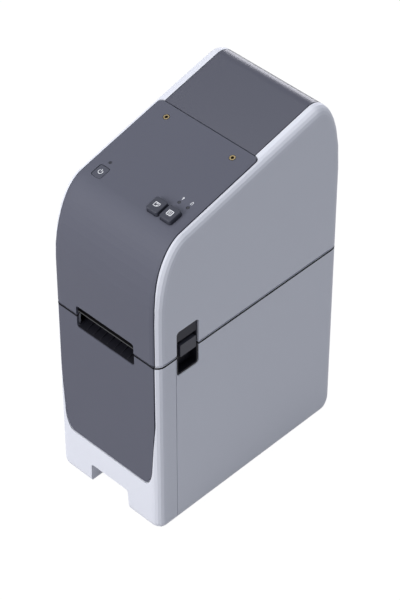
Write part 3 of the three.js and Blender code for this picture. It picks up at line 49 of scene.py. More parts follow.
def newGroup(name, inputs, outputs):
    group = bpy.data.node_groups.new(name, "ShaderNodeTree")
    for label, kind, value in inputs:
        socket = group.interface.new_socket(name=label, in_out="INPUT", socket_type=kind)
        if value is not None:
            socket.default_value = value
    for label, kind in outputs:
        group.interface.new_socket(name=label, in_out="OUTPUT", socket_type=kind)
    entry = group.nodes.new("NodeGroupInput")
    leave = group.nodes.new("NodeGroupOutput")
    return group, entry, leave


def addMath(tree, operation, a, b=0):
    node = tree.nodes.new("ShaderNodeMath")
    node.operation = operation
    for socket, value in zip(node.inputs, (a, b)):
        if isinstance(value, bpy.types.NodeSocket):
            tree.links.new(value, socket)
        else:
            socket.default_value = value
    return node.outputs[0]


# noise is centred on half, so this spreads it round the base roughness
def addDrift(group, noise, amount, base):
    centred = addMath(group, "SUBTRACT", noise, 0.5)
    scaled = addMath(group, "MULTIPLY", centred, amount)
    return addMath(group, "ADD", scaled, base)


mouldSettings = {
    "grainSize": 2200,
    "grainDetail": 3,
    "driftSize": 14,
    "sheenDrift": 0.05,
    "bite": 0.12,
    "gloss": 0.5,
    "pitDepth": 0.05 * mm,
}


# spark-eroded mould grain: fine pits for the bump, and a slow drift in the sheen
def makeMouldGrain():
    group, entry, leave = newGroup(
        "mouldGrain",
        [("Grain Size", "NodeSocketFloat", mouldSettings["grainSize"]),
         ("Base Roughness", "NodeSocketFloat", None),
         ("Sheen Drift", "NodeSocketFloat", mouldSettings["sheenDrift"])],
        [("Height", "NodeSocketFloat"), ("Roughness", "NodeSocketFloat")],
    )
    place = group.nodes.new("ShaderNodeTexCoord")
    grain = group.nodes.new("ShaderNodeTexNoise")
    grain.inputs["Detail"].default_value = mouldSettings["grainDetail"]
    drift = group.nodes.new("ShaderNodeTexNoise")
    drift.inputs["Scale"].default_value = mouldSettings["driftSize"]
    group.links.new(place.outputs["Object"], grain.inputs["Vector"])
    group.links.new(place.outputs["Object"], drift.inputs["Vector"])
    group.links.new(entry.outputs["Grain Size"], grain.inputs["Scale"])
    rough = addDrift(group, drift.outputs["Fac"], entry.outputs["Sheen Drift"],
                     entry.outputs["Base Roughness"])
    group.links.new(grain.outputs["Fac"], leave.inputs["Height"])
    group.links.new(rough, leave.inputs["Roughness"])
    return group


metalSettings = {
    "drawn": (40, 4000, 4000),
    "turned": (3000, 3000, 60),
    "contrast": 0.12,
    "bite": 0.1,
    "lineDepth": 0.03 * mm,
}


# lines left by rolling, brushing or turning, stretched along one axis
def makeDrawnLines():
    group, entry, leave = newGroup(
        "drawnLines",
        [("Stretch", "NodeSocketVector", None), ("Base Roughness", "NodeSocketFloat", None),
         ("Contrast", "NodeSocketFloat", metalSettings["contrast"])],
        [("Height", "NodeSocketFloat"), ("Roughness", "NodeSocketFloat")],
    )
    place = group.nodes.new("ShaderNodeTexCoord")
    stretch = group.nodes.new("ShaderNodeVectorMath")
    stretch.operation = "MULTIPLY"
    lines = group.nodes.new("ShaderNodeTexNoise")
    lines.inputs["Scale"].default_value = 1
    group.links.new(place.outputs["Object"], stretch.inputs[0])
    group.links.new(entry.outputs["Stretch"], stretch.inputs[1])
    group.links.new(stretch.outputs[0], lines.inputs["Vector"])
    rough = addDrift(group, lines.outputs["Fac"], entry.outputs["Contrast"],
                     entry.outputs["Base Roughness"])
    group.links.new(lines.outputs["Fac"], leave.inputs["Height"])
    group.links.new(rough, leave.inputs["Roughness"])
    return group


# colour, half width and roughness of the painted seam shadow
paintedJointShadowSettings = {"halfWidth": 0.88 * mm, "colour": (0.004, 0.004, 0.006), "roughness": 1.0}


# painted shadow: the colour is painted near black in a thin band round the seam between the cover and the
# base, over the gap's faces and the rims beside them, which shows as one line all round; the roughness
# there is raised to matt
def makePaintedJointShadow():
    group, entry, leave = newGroup(
        "paintedJointShadow",
        [("Base Color", "NodeSocketColor", None), ("Base Roughness", "NodeSocketFloat", None),
         ("Joint Height", "NodeSocketFloat", jointHeight),
         ("Half Width", "NodeSocketFloat", paintedJointShadowSettings["halfWidth"])],
        [("Color", "NodeSocketColor"), ("Roughness", "NodeSocketFloat")],
    )
    place = group.nodes.new("ShaderNodeTexCoord")
    split = group.nodes.new("ShaderNodeSeparateXYZ")
    group.links.new(place.outputs["Object"], split.inputs[0])
    offset = addMath(group, "SUBTRACT", split.outputs["Z"], entry.outputs["Joint Height"])
    away = addMath(group, "ABSOLUTE", offset)
    inside = addMath(group, "LESS_THAN", away, entry.outputs["Half Width"])
    blend = group.nodes.new("ShaderNodeMix")
    blend.data_type = "RGBA"
    blend.inputs["B"].default_value = (*paintedJointShadowSettings["colour"], 1)
    group.links.new(inside, blend.inputs["Factor"])
    group.links.new(entry.outputs["Base Color"], blend.inputs["A"])
    matt = group.nodes.new("ShaderNodeMix")
    matt.inputs["B"].default_value = paintedJointShadowSettings["roughness"]
    group.links.new(inside, matt.inputs["Factor"])
    group.links.new(entry.outputs["Base Roughness"], matt.inputs["A"])
    group.links.new(blend.outputs["Result"], leave.inputs["Color"])
    group.links.new(matt.outputs["Result"], leave.inputs["Roughness"])
    return group


mouldGrain = makeMouldGrain()
drawnLines = makeDrawnLines()
paintedJointShadow = makePaintedJointShadow()


def newMaterial(name, colour):
    material = bpy.data.materials.new(name)
    material.use_nodes = True
    shader = material.node_tree.nodes["Principled BSDF"]
    shader.inputs["Base Color"].default_value = (*colour, 1)
    material.diffuse_color = (*colour, 1)
    return material, shader


def addBump(material, shader, height, strength, depth):
    bump = material.node_tree.nodes.new("ShaderNodeBump")
    bump.inputs["Strength"].default_value = strength
    bump.inputs["Distance"].default_value = depth
    material.node_tree.links.new(height, bump.inputs["Height"])
    material.node_tree.links.new(bump.outputs["Normal"], shader.inputs["Normal"])


def mouldedPlastic(name, colour, roughness, grain=mouldSettings["grainSize"],
                   bite=mouldSettings["bite"], gloss=mouldSettings["gloss"], joint=False):
    material, shader = newMaterial(name, colour)
    tree = material.node_tree
    node = tree.nodes.new("ShaderNodeGroup")
    node.node_tree = mouldGrain
    node.inputs["Grain Size"].default_value = grain
    node.inputs["Base Roughness"].default_value = roughness
    tree.links.new(node.outputs["Roughness"], shader.inputs["Roughness"])
    addBump(material, shader, node.outputs["Height"], bite, mouldSettings["pitDepth"])
    shader.inputs["Specular IOR Level"].default_value = gloss
    # paints the seam shadow into the base colour and the roughness
    if joint:
        shade = tree.nodes.new("ShaderNodeGroup")
        shade.node_tree = paintedJointShadow
        shade.inputs["Base Color"].default_value = (*colour, 1)
        tree.links.new(node.outputs["Roughness"], shade.inputs["Base Roughness"])
        tree.links.new(shade.outputs["Roughness"], shader.inputs["Roughness"])
        tree.links.new(shade.outputs["Color"], shader.inputs["Base Color"])
    return material


def workedMetal(name, colour, roughness, stretch=metalSettings["drawn"]):
    material, shader = newMaterial(name, colour)
    tree = material.node_tree
    node = tree.nodes.new("ShaderNodeGroup")
    node.node_tree = drawnLines
    node.inputs["Stretch"].default_value = stretch
    node.inputs["Base Roughness"].default_value = roughness
    tree.links.new(node.outputs["Roughness"], shader.inputs["Roughness"])
    addBump(material, shader, node.outputs["Height"], metalSettings["bite"], metalSettings["lineDepth"])
    shader.inputs["Metallic"].default_value = 1
    return material


# the two grey panels are moulded with a coarser, duller grain than the casing
panelGrain = {"grain": 1700, "bite": 0.2, "gloss": 0.3, "joint": True}

casingWhite = mouldedPlastic("casingWhite", (0.775, 0.79, 0.865), 0.45, joint=True)
panelGrey = mouldedPlastic("panelGrey", (0.104, 0.108, 0.142), 0.6, **panelGrain)
lowerPanelGrey = mouldedPlastic("lowerPanelGrey", (0.1, 0.104, 0.138), 0.6, **panelGrain)
linerGrey = mouldedPlastic("linerGrey", (0.032, 0.032, 0.044), 0.55, gloss=0.25)
leverGrey = mouldedPlastic("leverGrey", (0.058, 0.059, 0.078), 0.42, gloss=0.3)
# near black for the finger cups, exit guide, sensor and sockets, and also painted shade in the insert
# bores and the screw crosses
nearBlackAndPaintedShade = mouldedPlastic("nearBlackAndPaintedShade", (0.006, 0.006, 0.011), 0.55, gloss=0.25)
keyBlack = mouldedPlastic("keyBlack", (0.050, 0.053, 0.072), 0.42, bite=0.06, gloss=0.3)
powerKeyGrey = mouldedPlastic("powerKeyGrey", (0.078, 0.082, 0.108), 0.5, bite=0.06, gloss=0.3)
acetalIvory = mouldedPlastic("acetalIvory", (0.72, 0.70, 0.62), 0.35, bite=0.05)
footRubber = mouldedPlastic("footRubber", (0.02, 0.02, 0.021), 0.8, grain=900, bite=0.3)
steelPlated = workedMetal("steelPlated", (0.56, 0.57, 0.59), 0.3)
bladeSteel = workedMetal("bladeSteel", (0.10, 0.10, 0.105), 0.4)
finAluminium = workedMetal("finAluminium", (0.62, 0.63, 0.65), 0.38)
brassTurned = workedMetal("brassTurned", (0.42, 0.33, 0.18), 0.35, stretch=metalSettings["turned"])
boardGreen = mouldedPlastic("boardGreen", (0.015, 0.10, 0.045), 0.32, grain=600, bite=0.04)
chipBlack = mouldedPlastic("chipBlack", (0.012, 0.012, 0.013), 0.5, grain=3000, bite=0.08)
ceramicHead = mouldedPlastic("ceramicHead", (0.42, 0.40, 0.36), 0.16, bite=0.02)
printWhite = mouldedPlastic("printWhite", (0.82, 0.83, 0.86), 0.5, bite=0.02)
contactGold = workedMetal("contactGold", (0.85, 0.62, 0.25), 0.22)

windowSettings = {"colour": (0.112, 0.115, 0.15), "roughness": 0.24, "alpha": 0.84, "ior": 1.5}


def makeSmokedWindow():
    material, shader = newMaterial("smokedWindow", windowSettings["colour"])
    shader.inputs["Roughness"].default_value = windowSettings["roughness"]
    shader.inputs["Alpha"].default_value = windowSettings["alpha"]
    shader.inputs["IOR"].default_value = windowSettings["ior"]
    return material


def plainMaterial(name, colour, roughness):
    material, shader = newMaterial(name, colour)
    shader.inputs["Roughness"].default_value = roughness
    return material


paperSettings = {
    "flatColour": (0.80, 0.79, 0.76),
    "gapColour": (0.55, 0.52, 0.46),
    "layerColour": (0.82, 0.81, 0.78),
    "wavesPerMetre": 2400,
    "leastLayer": 0.72,
    "roughness": 0.62,
}


# the roll's sides show its wound layers, and its outside is smooth face stock
def makeRollPaper():
    material, shader = newMaterial("rollPaper", paperSettings["flatColour"])
    tree = material.node_tree
    place = tree.nodes.new("ShaderNodeTexCoord")
    split = tree.nodes.new("ShaderNodeSeparateXYZ")
    tree.links.new(place.outputs["Object"], split.inputs[0])
    low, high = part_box("label_roll")
    centre = (low + high) / 2
    y = addMath(tree, "SUBTRACT", split.outputs["Y"], centre.y)
    z = addMath(tree, "SUBTRACT", split.outputs["Z"], centre.z)
    squares = addMath(tree, "ADD", addMath(tree, "MULTIPLY", y, y), addMath(tree, "MULTIPLY", z, z))
    radius = addMath(tree, "SQRT", squares)
    wave = addMath(tree, "SINE", addMath(tree, "MULTIPLY", radius, paperSettings["wavesPerMetre"]))
    tone = tree.nodes.new("ShaderNodeMapRange")
    tone.inputs["From Min"].default_value = -1
    tone.inputs["To Min"].default_value = paperSettings["leastLayer"]
    tree.links.new(wave, tone.inputs["Value"])
    paint = tree.nodes.new("ShaderNodeMix")
    paint.data_type = "RGBA"
    paint.inputs["A"].default_value = (*paperSettings["gapColour"], 1)
    paint.inputs["B"].default_value = (*paperSettings["layerColour"], 1)
    tree.links.new(tone.outputs["Result"], paint.inputs["Factor"])
    tree.links.new(paint.outputs["Result"], shader.inputs["Base Color"])
    shader.inputs["Roughness"].default_value = paperSettings["roughness"]
    return material


smokedWindow = makeSmokedWindow()
lampLens = plainMaterial("lampLens", (0.028, 0.030, 0.040), 0.2)
rollPaper = makeRollPaper()
coreCard = plainMaterial("coreCard", (0.34, 0.24, 0.14), 0.85)
print("materials made:", len(bpy.data.materials))


edgeSettings = {"flatAngle": 0.3, "sharpAngle": 32, "segments": 2, "faceWeight": 50}


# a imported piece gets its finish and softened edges
def dress(node, material, edge):
    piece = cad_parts[node]
    piece.data.materials.clear()
    piece.data.materials.append(material)
    for face in piece.data.polygons:
        face.use_smooth = True
    flats = piece.modifiers.new("joinFlats", "DECIMATE")
    flats.decimate_type = "DISSOLVE"
    flats.angle_limit = math.radians(edgeSettings["flatAngle"])
    if edge > 0:
        soft = piece.modifiers.new("softEdges", "BEVEL")
        soft.width = edge * mm
        soft.segments = edgeSettings["segments"]
        soft.limit_method = "ANGLE"
        soft.angle_limit = math.radians(edgeSettings["sharpAngle"])
    else:
        piece.data.set_sharp_from_angle(angle=math.radians(edgeSettings["sharpAngle"]))
    normals = piece.modifiers.new("flatNormals", "WEIGHTED_NORMAL")
    normals.keep_sharp = True
    normals.weight = edgeSettings["faceWeight"]


# finish, slot, edge softening in mm, and the pieces that have it
finishes = [
    (casingWhite, "casing", 0.35, ["front_shell", "main_housing", "cover_shell", "bottom_plate"]),
    (panelGrey, "panel", 0.3, ["upper_panel"]),
    (lowerPanelGrey, "panel", 0.3, ["lower_front_panel", "socket_panel"]),
    (leverGrey, "panel", 0.3, ["release_lever_left", "release_lever_right", "roll_guide_left",
                               "roll_guide_right"]),
    (smokedWindow, "smoke", 0.3, ["roll_window"]),
    (nearBlackAndPaintedShade, "black", 0.15, ["label_exit_guide", "finger_cup_left", "finger_cup_right", "gap_sensor",
                                  "dc_jack", "usb_socket", "network_socket", "serial_socket"]),
    (keyBlack, "black", 0.1, ["feed_button", "print_button"]),
    (powerKeyGrey, "black", 0.1, ["power_button"]),
    (linerGrey, "liner", 0.2, ["cover_liner", "platen_bracket", "release_bezel_left",
                               "release_bezel_right", "roll_tray"]),
    (steelPlated, "steel", 0.12, ["print_frame", "hinge_pin_left", "hinge_pin_right", "idler_axle",
                                  "latch_shaft", "platen_shaft"]),
    (bladeSteel, "steel", 0.1, ["tear_bar"]),
    (steelPlated, "steel", 0, ["head_spring_left", "head_spring_right"]),
    (finAluminium, "aluminium", 0.15, ["head_heat_sink", "feed_motor"]),
    (brassTurned, "brass", 0.15, ["brass_insert_left", "brass_insert_right"]),
    (footRubber, "rubber", 0.3, ["rubber_foot_front_left", "rubber_foot_front_right",
                                 "rubber_foot_rear_left", "rubber_foot_rear_right"]),
    (footRubber, "rubber", 0.2, ["platen_roller"]),
    (acetalIvory, "gear", 0.08, ["idler_gear", "motor_pinion", "platen_gear", "platen_bush_left",
                                 "platen_bush_right", "guide_pinion"]),
    (boardGreen, "board", 0.1, ["main_board", "key_board"]),
    (rollPaper, "paper", 0.15, ["label_roll"]),
    (coreCard, "card", 0.1, ["roll_core"]),
    (lampLens, "lamp", 0.15, ["power_lamp", "status_lamp", "battery_lamp"]),
    (ceramicHead, "head", 0.1, ["thermal_print_head"]),
]
for material, slotName, edge, nodes in finishes:
    for node in nodes:
        dress(node, material, edge)
print("packed pieces dressed")


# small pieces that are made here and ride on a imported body

def meshPiece(name, build, material, body, place=None):
    mesh = bpy.data.meshes.new(name)
    shape = bmesh.new()
    build(shape)
    if place is not None:
        bmesh.ops.transform(shape, matrix=place, verts=shape.verts)
    bmesh.ops.recalc_face_normals(shape, faces=shape.faces)
    shape.to_mesh(mesh)
    shape.free()
    piece = bpy.data.objects.new(name, mesh)
    bpy.context.scene.collection.objects.link(piece)
    mesh.materials.append(material)
    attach(piece, body)
    return piece


def addSlab(shape, outline, low, high):
    under = [shape.verts.new((x, y, low)) for x, y in outline]
    over = [shape.verts.new((x, y, high)) for x, y in outline]
    count = len(outline)
    shape.faces.new(list(reversed(under)))
    shape.faces.new(over)
    for i in range(count):
        j = (i + 1) % count
        shape.faces.new((under[i], under[j], over[j], over[i]))


def addBlock(shape, low, high):
    (x0, y0, z0), (x1, y1, z1) = low, high
    addSlab(shape, [(x0, y0), (x1, y0), (x1, y1), (x0, y1)], z0, z1)


def addRod(shape, radius, length, segments, place):
    bmesh.ops.create_cone(shape, cap_ends=True, segments=segments, radius1=radius, radius2=radius,
                          depth=length, matrix=place)


# an open or closed line of constant width, as one flat slab for each straight length
def addStroke(shape, points, width, low, high, closed=False):
    count = len(points)
    last = count if closed else count - 1
    for i in range(last):
        a = Vector(points[i])
        b = Vector(points[(i + 1) % count])
        along = (b - a).normalized() * width / 2
        side = Vector((-along.y, along.x))
        corners = [a - along - side, b + along - side, b + along + side, a - along + side]
        addSlab(shape, [tuple(c) for c in corners], low, high)


# part of a flat ring, between two angles in degrees
def addArcBand(shape, centre, inner, outer, start, stop, low, high, steps):
    angles = [math.radians(start + (stop - start) * i / steps) for i in range(steps + 1)]
    rim = [(centre[0] + outer * math.cos(t), centre[1] + outer * math.sin(t)) for t in angles]
    rim += [(centre[0] + inner * math.cos(t), centre[1] + inner * math.sin(t)) for t in reversed(angles)]
    addSlab(shape, rim, low, high)


topFaceBand = 0.02 * mm  # points this near the highest one lie on a piece's top face


# where a piece on the lid has the middle of its top face, and the frame to draw on it
def lidPlace(node, level=None):
    back = Vector((0, math.cos(lidSlope), math.sin(lidSlope)))
    points = [v.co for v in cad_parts[node].data.vertices]
    top = max(p.dot(lidNormal) for p in points)
    face = [p for p in points if p.dot(lidNormal) > top - topFaceBand]
    xs = [p.x for p in face]
    ys = [p.dot(back) for p in face]
    x = (min(xs) + max(xs)) / 2
    along = (min(ys) + max(ys)) / 2
    centre = Vector((x, 0, 0)) + back * along + lidNormal * (top if level is None else level)
    return Matrix.Translation(centre) @ Matrix.Rotation(lidSlope, 4, "X")


inkSettings = {"low": -0.02 * mm, "high": 0.06 * mm}  # the printed marks stand this far off their face

powerIcon = {"line": 0.5 * mm, "inner": 1.55 * mm, "outer": 2.05 * mm, "start": 125, "stop": 415,
             "steps": 22, "barFoot": 0.5 * mm, "barTop": 2.3 * mm}
feedIcon = {"line": 0.5 * mm, "halfWidth": 2.1 * mm, "halfHeight": 1.7 * mm, "foldFrom": 0.2,
            "foldUp": 0.3, "dash": 0.45}
pageIcon = {"line": 0.5 * mm, "halfWidth": 2.1 * mm, "halfHeight": 2.0 * mm, "frameLine": 1.3,
            "textLine": 0.8, "textHalf": 0.55, "textRows": (-0.45, 0, 0.45)}


def makeIcons():
    low, high = inkSettings["low"], inkSettings["high"]

    def power(shape):
        addArcBand(shape, (0, 0), powerIcon["inner"], powerIcon["outer"], powerIcon["start"],
                   powerIcon["stop"], low, high, powerIcon["steps"])
        bar = [(0, powerIcon["barFoot"]), (0, powerIcon["barTop"])]
        addStroke(shape, bar, powerIcon["line"], low, high)

    # a strip of labels with a turned corner, and a dash across it
    def feed(shape):
        w, h, line = feedIcon["halfWidth"], feedIcon["halfHeight"], feedIcon["line"]
        foldX = w * feedIcon["foldFrom"]
        foldY = -h * feedIcon["foldUp"]
        dashX = w * feedIcon["dash"]
        dashY = h * feedIcon["dash"]
        outline = [(-w, -h), (foldX, -h), (w, foldY), (w, h), (-w, h)]
        addStroke(shape, outline, line, low, high, closed=True)
        addStroke(shape, [(foldX, -h), (foldX, foldY), (w, foldY)], line, low, high)
        addStroke(shape, [(-dashX, dashY), (dashX, dashY)], line, low, high)

    # a printed page with three lines on it
    def page(shape):
        w, h, line = pageIcon["halfWidth"], pageIcon["halfHeight"], pageIcon["line"]
        outline = [(-w, -h), (w, -h), (w, h), (-w, h)]
        addStroke(shape, outline, line * pageIcon["frameLine"], low, high, closed=True)
        end = w * pageIcon["textHalf"]
        for share in pageIcon["textRows"]:
            row = [(-end, h * share), (end, h * share)]
            addStroke(shape, row, line * pageIcon["textLine"], low, high)

    for node, body, build in (
        ("power_button", "power_key", power),
        ("feed_button", "feed_key", feed),
        ("print_button", "print_key", page),
    ):
        meshPiece("icon_" + node, build, printWhite, body, lidPlace(node))


lampMarks = {"behind": 4.3 * mm, "line": 0.38 * mm}
statusMark = {"middle": 0.35 * mm, "radius": 0.72 * mm, "stop": 359, "steps": 14,
              "stemTop": -0.3 * mm, "stemFoot": -1.25 * mm, "stemLine": 1.4}
batteryMark = {"halfWidth": 0.62 * mm, "halfHeight": 1.05 * mm, "capHalf": 0.4, "capUp": 1.35}


def makeLampMarks():
    low, high = inkSettings["low"], inkSettings["high"]
    line = lampMarks["line"]
    panelLevel = max(v.co.dot(lidNormal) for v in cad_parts["upper_panel"].data.vertices)

    # a round lamp on a short stem, for the status
    def status(shape):
        addArcBand(shape, (0, statusMark["middle"]), 0, statusMark["radius"], 0, statusMark["stop"],
                   low, high, statusMark["steps"])
        stem = [(0, statusMark["stemTop"]), (0, statusMark["stemFoot"])]
        addStroke(shape, stem, line * statusMark["stemLine"], low, high)

    # a battery with its cap
    def battery(shape):
        w, h = batteryMark["halfWidth"], batteryMark["halfHeight"]
        capX = w * batteryMark["capHalf"]
        capY = h * batteryMark["capUp"]
        addStroke(shape, [(-w, -h), (w, -h), (w, h), (-w, h)], line, low, high, closed=True)
        addStroke(shape, [(-capX, capY), (capX, capY)], line, low, high)

    for node, build in (("status_lamp", status), ("battery_lamp", battery)):
        place = lidPlace(node, panelLevel) @ Matrix.Translation((0, lampMarks["behind"], 0))
        meshPiece("mark_" + node, build, printWhite, "cover", place)


boreShadowSettings = {"radius": 1.28 * mm, "depth": 0.5 * mm, "below": 2.2 * mm, "segments": 20}


# painted shade: a near-black disc set down in the bore of each brass insert stands for the shade in the
# hole
def makeBoreShadowDiscs():
    middle = Matrix.Translation((0, 0, -boreShadowSettings["below"]))

    def bore(shape):
        addRod(shape, boreShadowSettings["radius"], boreShadowSettings["depth"], boreShadowSettings["segments"], middle)

    for node in ("brass_insert_left", "brass_insert_right"):
        meshPiece("bore_shadow_" + node, bore, nearBlackAndPaintedShade, "cover", lidPlace(node))


# tongue and contacts of the USB socket, from its own box
usbSettings = {
    "tongueHalfWidth": 2.6 * mm,
    "tongueHalfHeight": 1.5 * mm,
    "tongueFront": 3.4 * mm,
    "tongueBack": 2 * mm,
    "contactOut": 1.2 * mm,
    "contactHalfWidth": 0.5 * mm,
    "contactUp": 1.55 * mm,
    "contactHalfHeight": 0.1 * mm,
    "contactFront": 4 * mm,
    "contactBack": 2.6 * mm,
}
networkSettings = {"count": 8, "pitch": 1.02 * mm, "halfWidth": 0.2 * mm, "front": 3.4 * mm,
                   "back": 4 * mm, "low": 2.9 * mm, "high": 3.5 * mm}
serialSettings = {"rows": ((5, 1.4 * mm), (4, -1.4 * mm)), "pitch": 2.76 * mm, "front": 3.2 * mm,
                  "radius": 0.5 * mm, "length": 6 * mm, "segments": 12}


def makeSocketContacts():
    usb = usbSettings
    usbLow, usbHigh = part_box("usb_socket")
    usbX = (usbLow.x + usbHigh.x) / 2
    usbZ = (usbLow.z + usbHigh.z) / 2

    def usbTongue(shape):
        w, h = usb["tongueHalfWidth"], usb["tongueHalfHeight"]
        addBlock(shape, (usbX - w, usbLow.y + usb["tongueFront"], usbZ - h),
                 (usbX + w, usbHigh.y - usb["tongueBack"], usbZ + h))

    def usbContacts(shape):
        w, h = usb["contactHalfWidth"], usb["contactHalfHeight"]
        for side in (-1, 1):
            for hand in (-1, 1):
                x = usbX + hand * usb["contactOut"]
                z = usbZ + side * usb["contactUp"]
                addBlock(shape, (x - w, usbLow.y + usb["contactFront"], z - h),
                         (x + w, usbHigh.y - usb["contactBack"], z + h))

    meshPiece("usb_tongue", usbTongue, printWhite, "base")
    meshPiece("usb_contacts", usbContacts, contactGold, "base")

    net = networkSettings
    netLow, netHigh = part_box("network_socket")
    netX = (netLow.x + netHigh.x) / 2
    netZ = (netLow.z + netHigh.z) / 2

    def networkContacts(shape):
        for i in range(net["count"]):
            x = netX + (i - (net["count"] - 1) / 2) * net["pitch"]
            addBlock(shape, (x - net["halfWidth"], netLow.y + net["front"], netZ + net["low"]),
                     (x + net["halfWidth"], netHigh.y - net["back"], netZ + net["high"]))

    meshPiece("network_contacts", networkContacts, contactGold, "base")

    pins = serialSettings
    serialLow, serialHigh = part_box("serial_socket")
    serialX = (serialLow.x + serialHigh.x) / 2
    serialZ = (serialLow.z + serialHigh.z) / 2
    alongY = Matrix.Rotation(math.pi / 2, 4, "X")

    def serialPins(shape):
        y = serialLow.y + pins["front"] + pins["length"] / 2
        for count, rise in pins["rows"]:
            for i in range(count):
                x = serialX + (i - (count - 1) / 2) * pins["pitch"]
                place = Matrix.Translation((x, y, serialZ + rise)) @ alongY
                addRod(shape, pins["radius"], pins["length"], pins["segments"], place)

    meshPiece("serial_pins", serialPins, contactGold, "base")


screwSettings = {
    "inset": 6 * mm,
    "radius": 2.9 * mm,
    "steps": 28,
    "headLow": -0.7 * mm,
    "headHigh": 0.05 * mm,
    "slotHalf": 1.7 * mm,
    "slotWidth": 0.55 * mm,
    "slotLow": -0.78 * mm,
    "slotHigh": -0.6 * mm,
}


# cross-head screws that hold the bottom plate
def makeScrews():
    low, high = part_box("bottom_plate")
    inset = screwSettings["inset"]
    middleY = (low.y + high.y) / 2
    places = [(low.x + inset, middleY), (high.x - inset, middleY), (0, high.y - inset)]

    def head(shape):
        radius, steps = screwSettings["radius"], screwSettings["steps"]
        angles = [2 * math.pi * i / steps for i in range(steps)]
        ring = [(radius * math.cos(t), radius * math.sin(t)) for t in angles]
        addSlab(shape, ring, screwSettings["headLow"], screwSettings["headHigh"])

    # painted shade: each head's cross recess is drawn as a thin near-black cross laid on its face
    def crossShadeMarks(shape):
        for along in ((1, 0), (0, 1)):
            end = Vector(along) * screwSettings["slotHalf"]
            addStroke(shape, [tuple(-end), tuple(end)], screwSettings["slotWidth"],
                      screwSettings["slotLow"], screwSettings["slotHigh"])

    for index, (x, y) in enumerate(places):
        place = Matrix.Translation((x, y, low.z))
        meshPiece("plate_screw_%d" % (index + 1), head, steelPlated, "base", place)
        meshPiece("screw_cross_shade_%d" % (index + 1), crossShadeMarks, nearBlackAndPaintedShade, "base", place)


# each chip is x, y, width, depth and height in mm, and each can is x, y in mm
boardSettings = {
    "chips": ((-18, 20, 14, 14, 1.6), (12, 34, 20, 9, 2.2), (20, 8, 8, 8, 1.2), (-30, 44, 9, 6, 1.4)),
    "cans": ((-34, 0), (-22, -6), (34, 50)),
    "canRadius": 4 * mm,
    "canHeight": 11 * mm,
    "canSegments": 28,
}
keyPartSettings = {
    "contactHalf": 3 * mm,
    "contactHeight": 0.15 * mm,
    "chipLow": (-12 * mm, -4 * mm, -3.2 * mm),
    "chipHigh": (2 * mm, 4 * mm, -1.6 * mm),
}


# chips and capacitors on the main board, contacts and one chip on the key board
def makeBoardParts():
    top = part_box("main_board")[1].z

    def chips(shape):
        for x, y, w, d, h in boardSettings["chips"]:
            addBlock(shape, (x * mm - w * mm / 2, y * mm - d * mm / 2, top),
                     (x * mm + w * mm / 2, y * mm + d * mm / 2, top + h * mm))

    def cans(shape):
        height = boardSettings["canHeight"]
        for x, y in boardSettings["cans"]:
            place = Matrix.Translation((x * mm, y * mm, top + height / 2))
            addRod(shape, boardSettings["canRadius"], height, boardSettings["canSegments"], place)

    meshPiece("board_chips", chips, chipBlack, "base")
    meshPiece("board_capacitors", cans, finAluminium, "base")

    place = lidPlace("key_board")

    def keyParts(shape):
        half = keyPartSettings["contactHalf"]
        for node in ("power_button", "feed_button", "print_button"):
            at = place.inverted() @ lidPlace(node).translation
            addBlock(shape, (at.x - half, at.y - half, 0),
                     (at.x + half, at.y + half, keyPartSettings["contactHeight"]))
        addBlock(shape, keyPartSettings["chipLow"], keyPartSettings["chipHigh"])

    meshPiece("key_board_parts", keyParts, chipBlack, "cover", place)


heaterSettings = {"halfWidth": 0.6 * mm, "height": 0.12 * mm, "driverFront": 4.5 * mm,
                  "driverBack": 1.5 * mm, "driverHeight": 0.5 * mm}


# the heater line along the print head, and the cover over its driver chips
def makeHeaterLine():
    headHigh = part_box("thermal_print_head")[1]
    rollLow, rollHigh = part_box("platen_roller")
    y = (rollLow.y + rollHigh.y) / 2
    top = headHigh.z

    def line(shape):
        half = heaterSettings["halfWidth"]
        addBlock(shape, (rollLow.x, y - half, top), (rollHigh.x, y + half, top + heaterSettings["height"]))

    def driver(shape):
        addBlock(shape, (rollLow.x, headHigh.y - heaterSettings["driverFront"], top),
                 (rollHigh.x, headHigh.y - heaterSettings["driverBack"],
                  top + heaterSettings["driverHeight"]))

    meshPiece("heater_line", line, contactGold, "base")
    meshPiece("head_driver_cover", driver, chipBlack, "base")


makeIcons()
makeLampMarks()
makeBoreShadowDiscs()
makeSocketContacts()
makeScrews()
makeBoardParts()
makeHeaterLine()
print("small pieces made")


# the stage: a floor that glows where the camera or a reflection sees it, and is shaded elsewhere
floorSettings = {
    "size": 30.0,
    "drop": 0.2 * mm,
    "colour": (0.42, 0.42, 0.44),
    "roughness": 0.9,
    "glow": 1.07,
    "shadowShare": 0.07,
    "mirroredShare": 0.75,
}


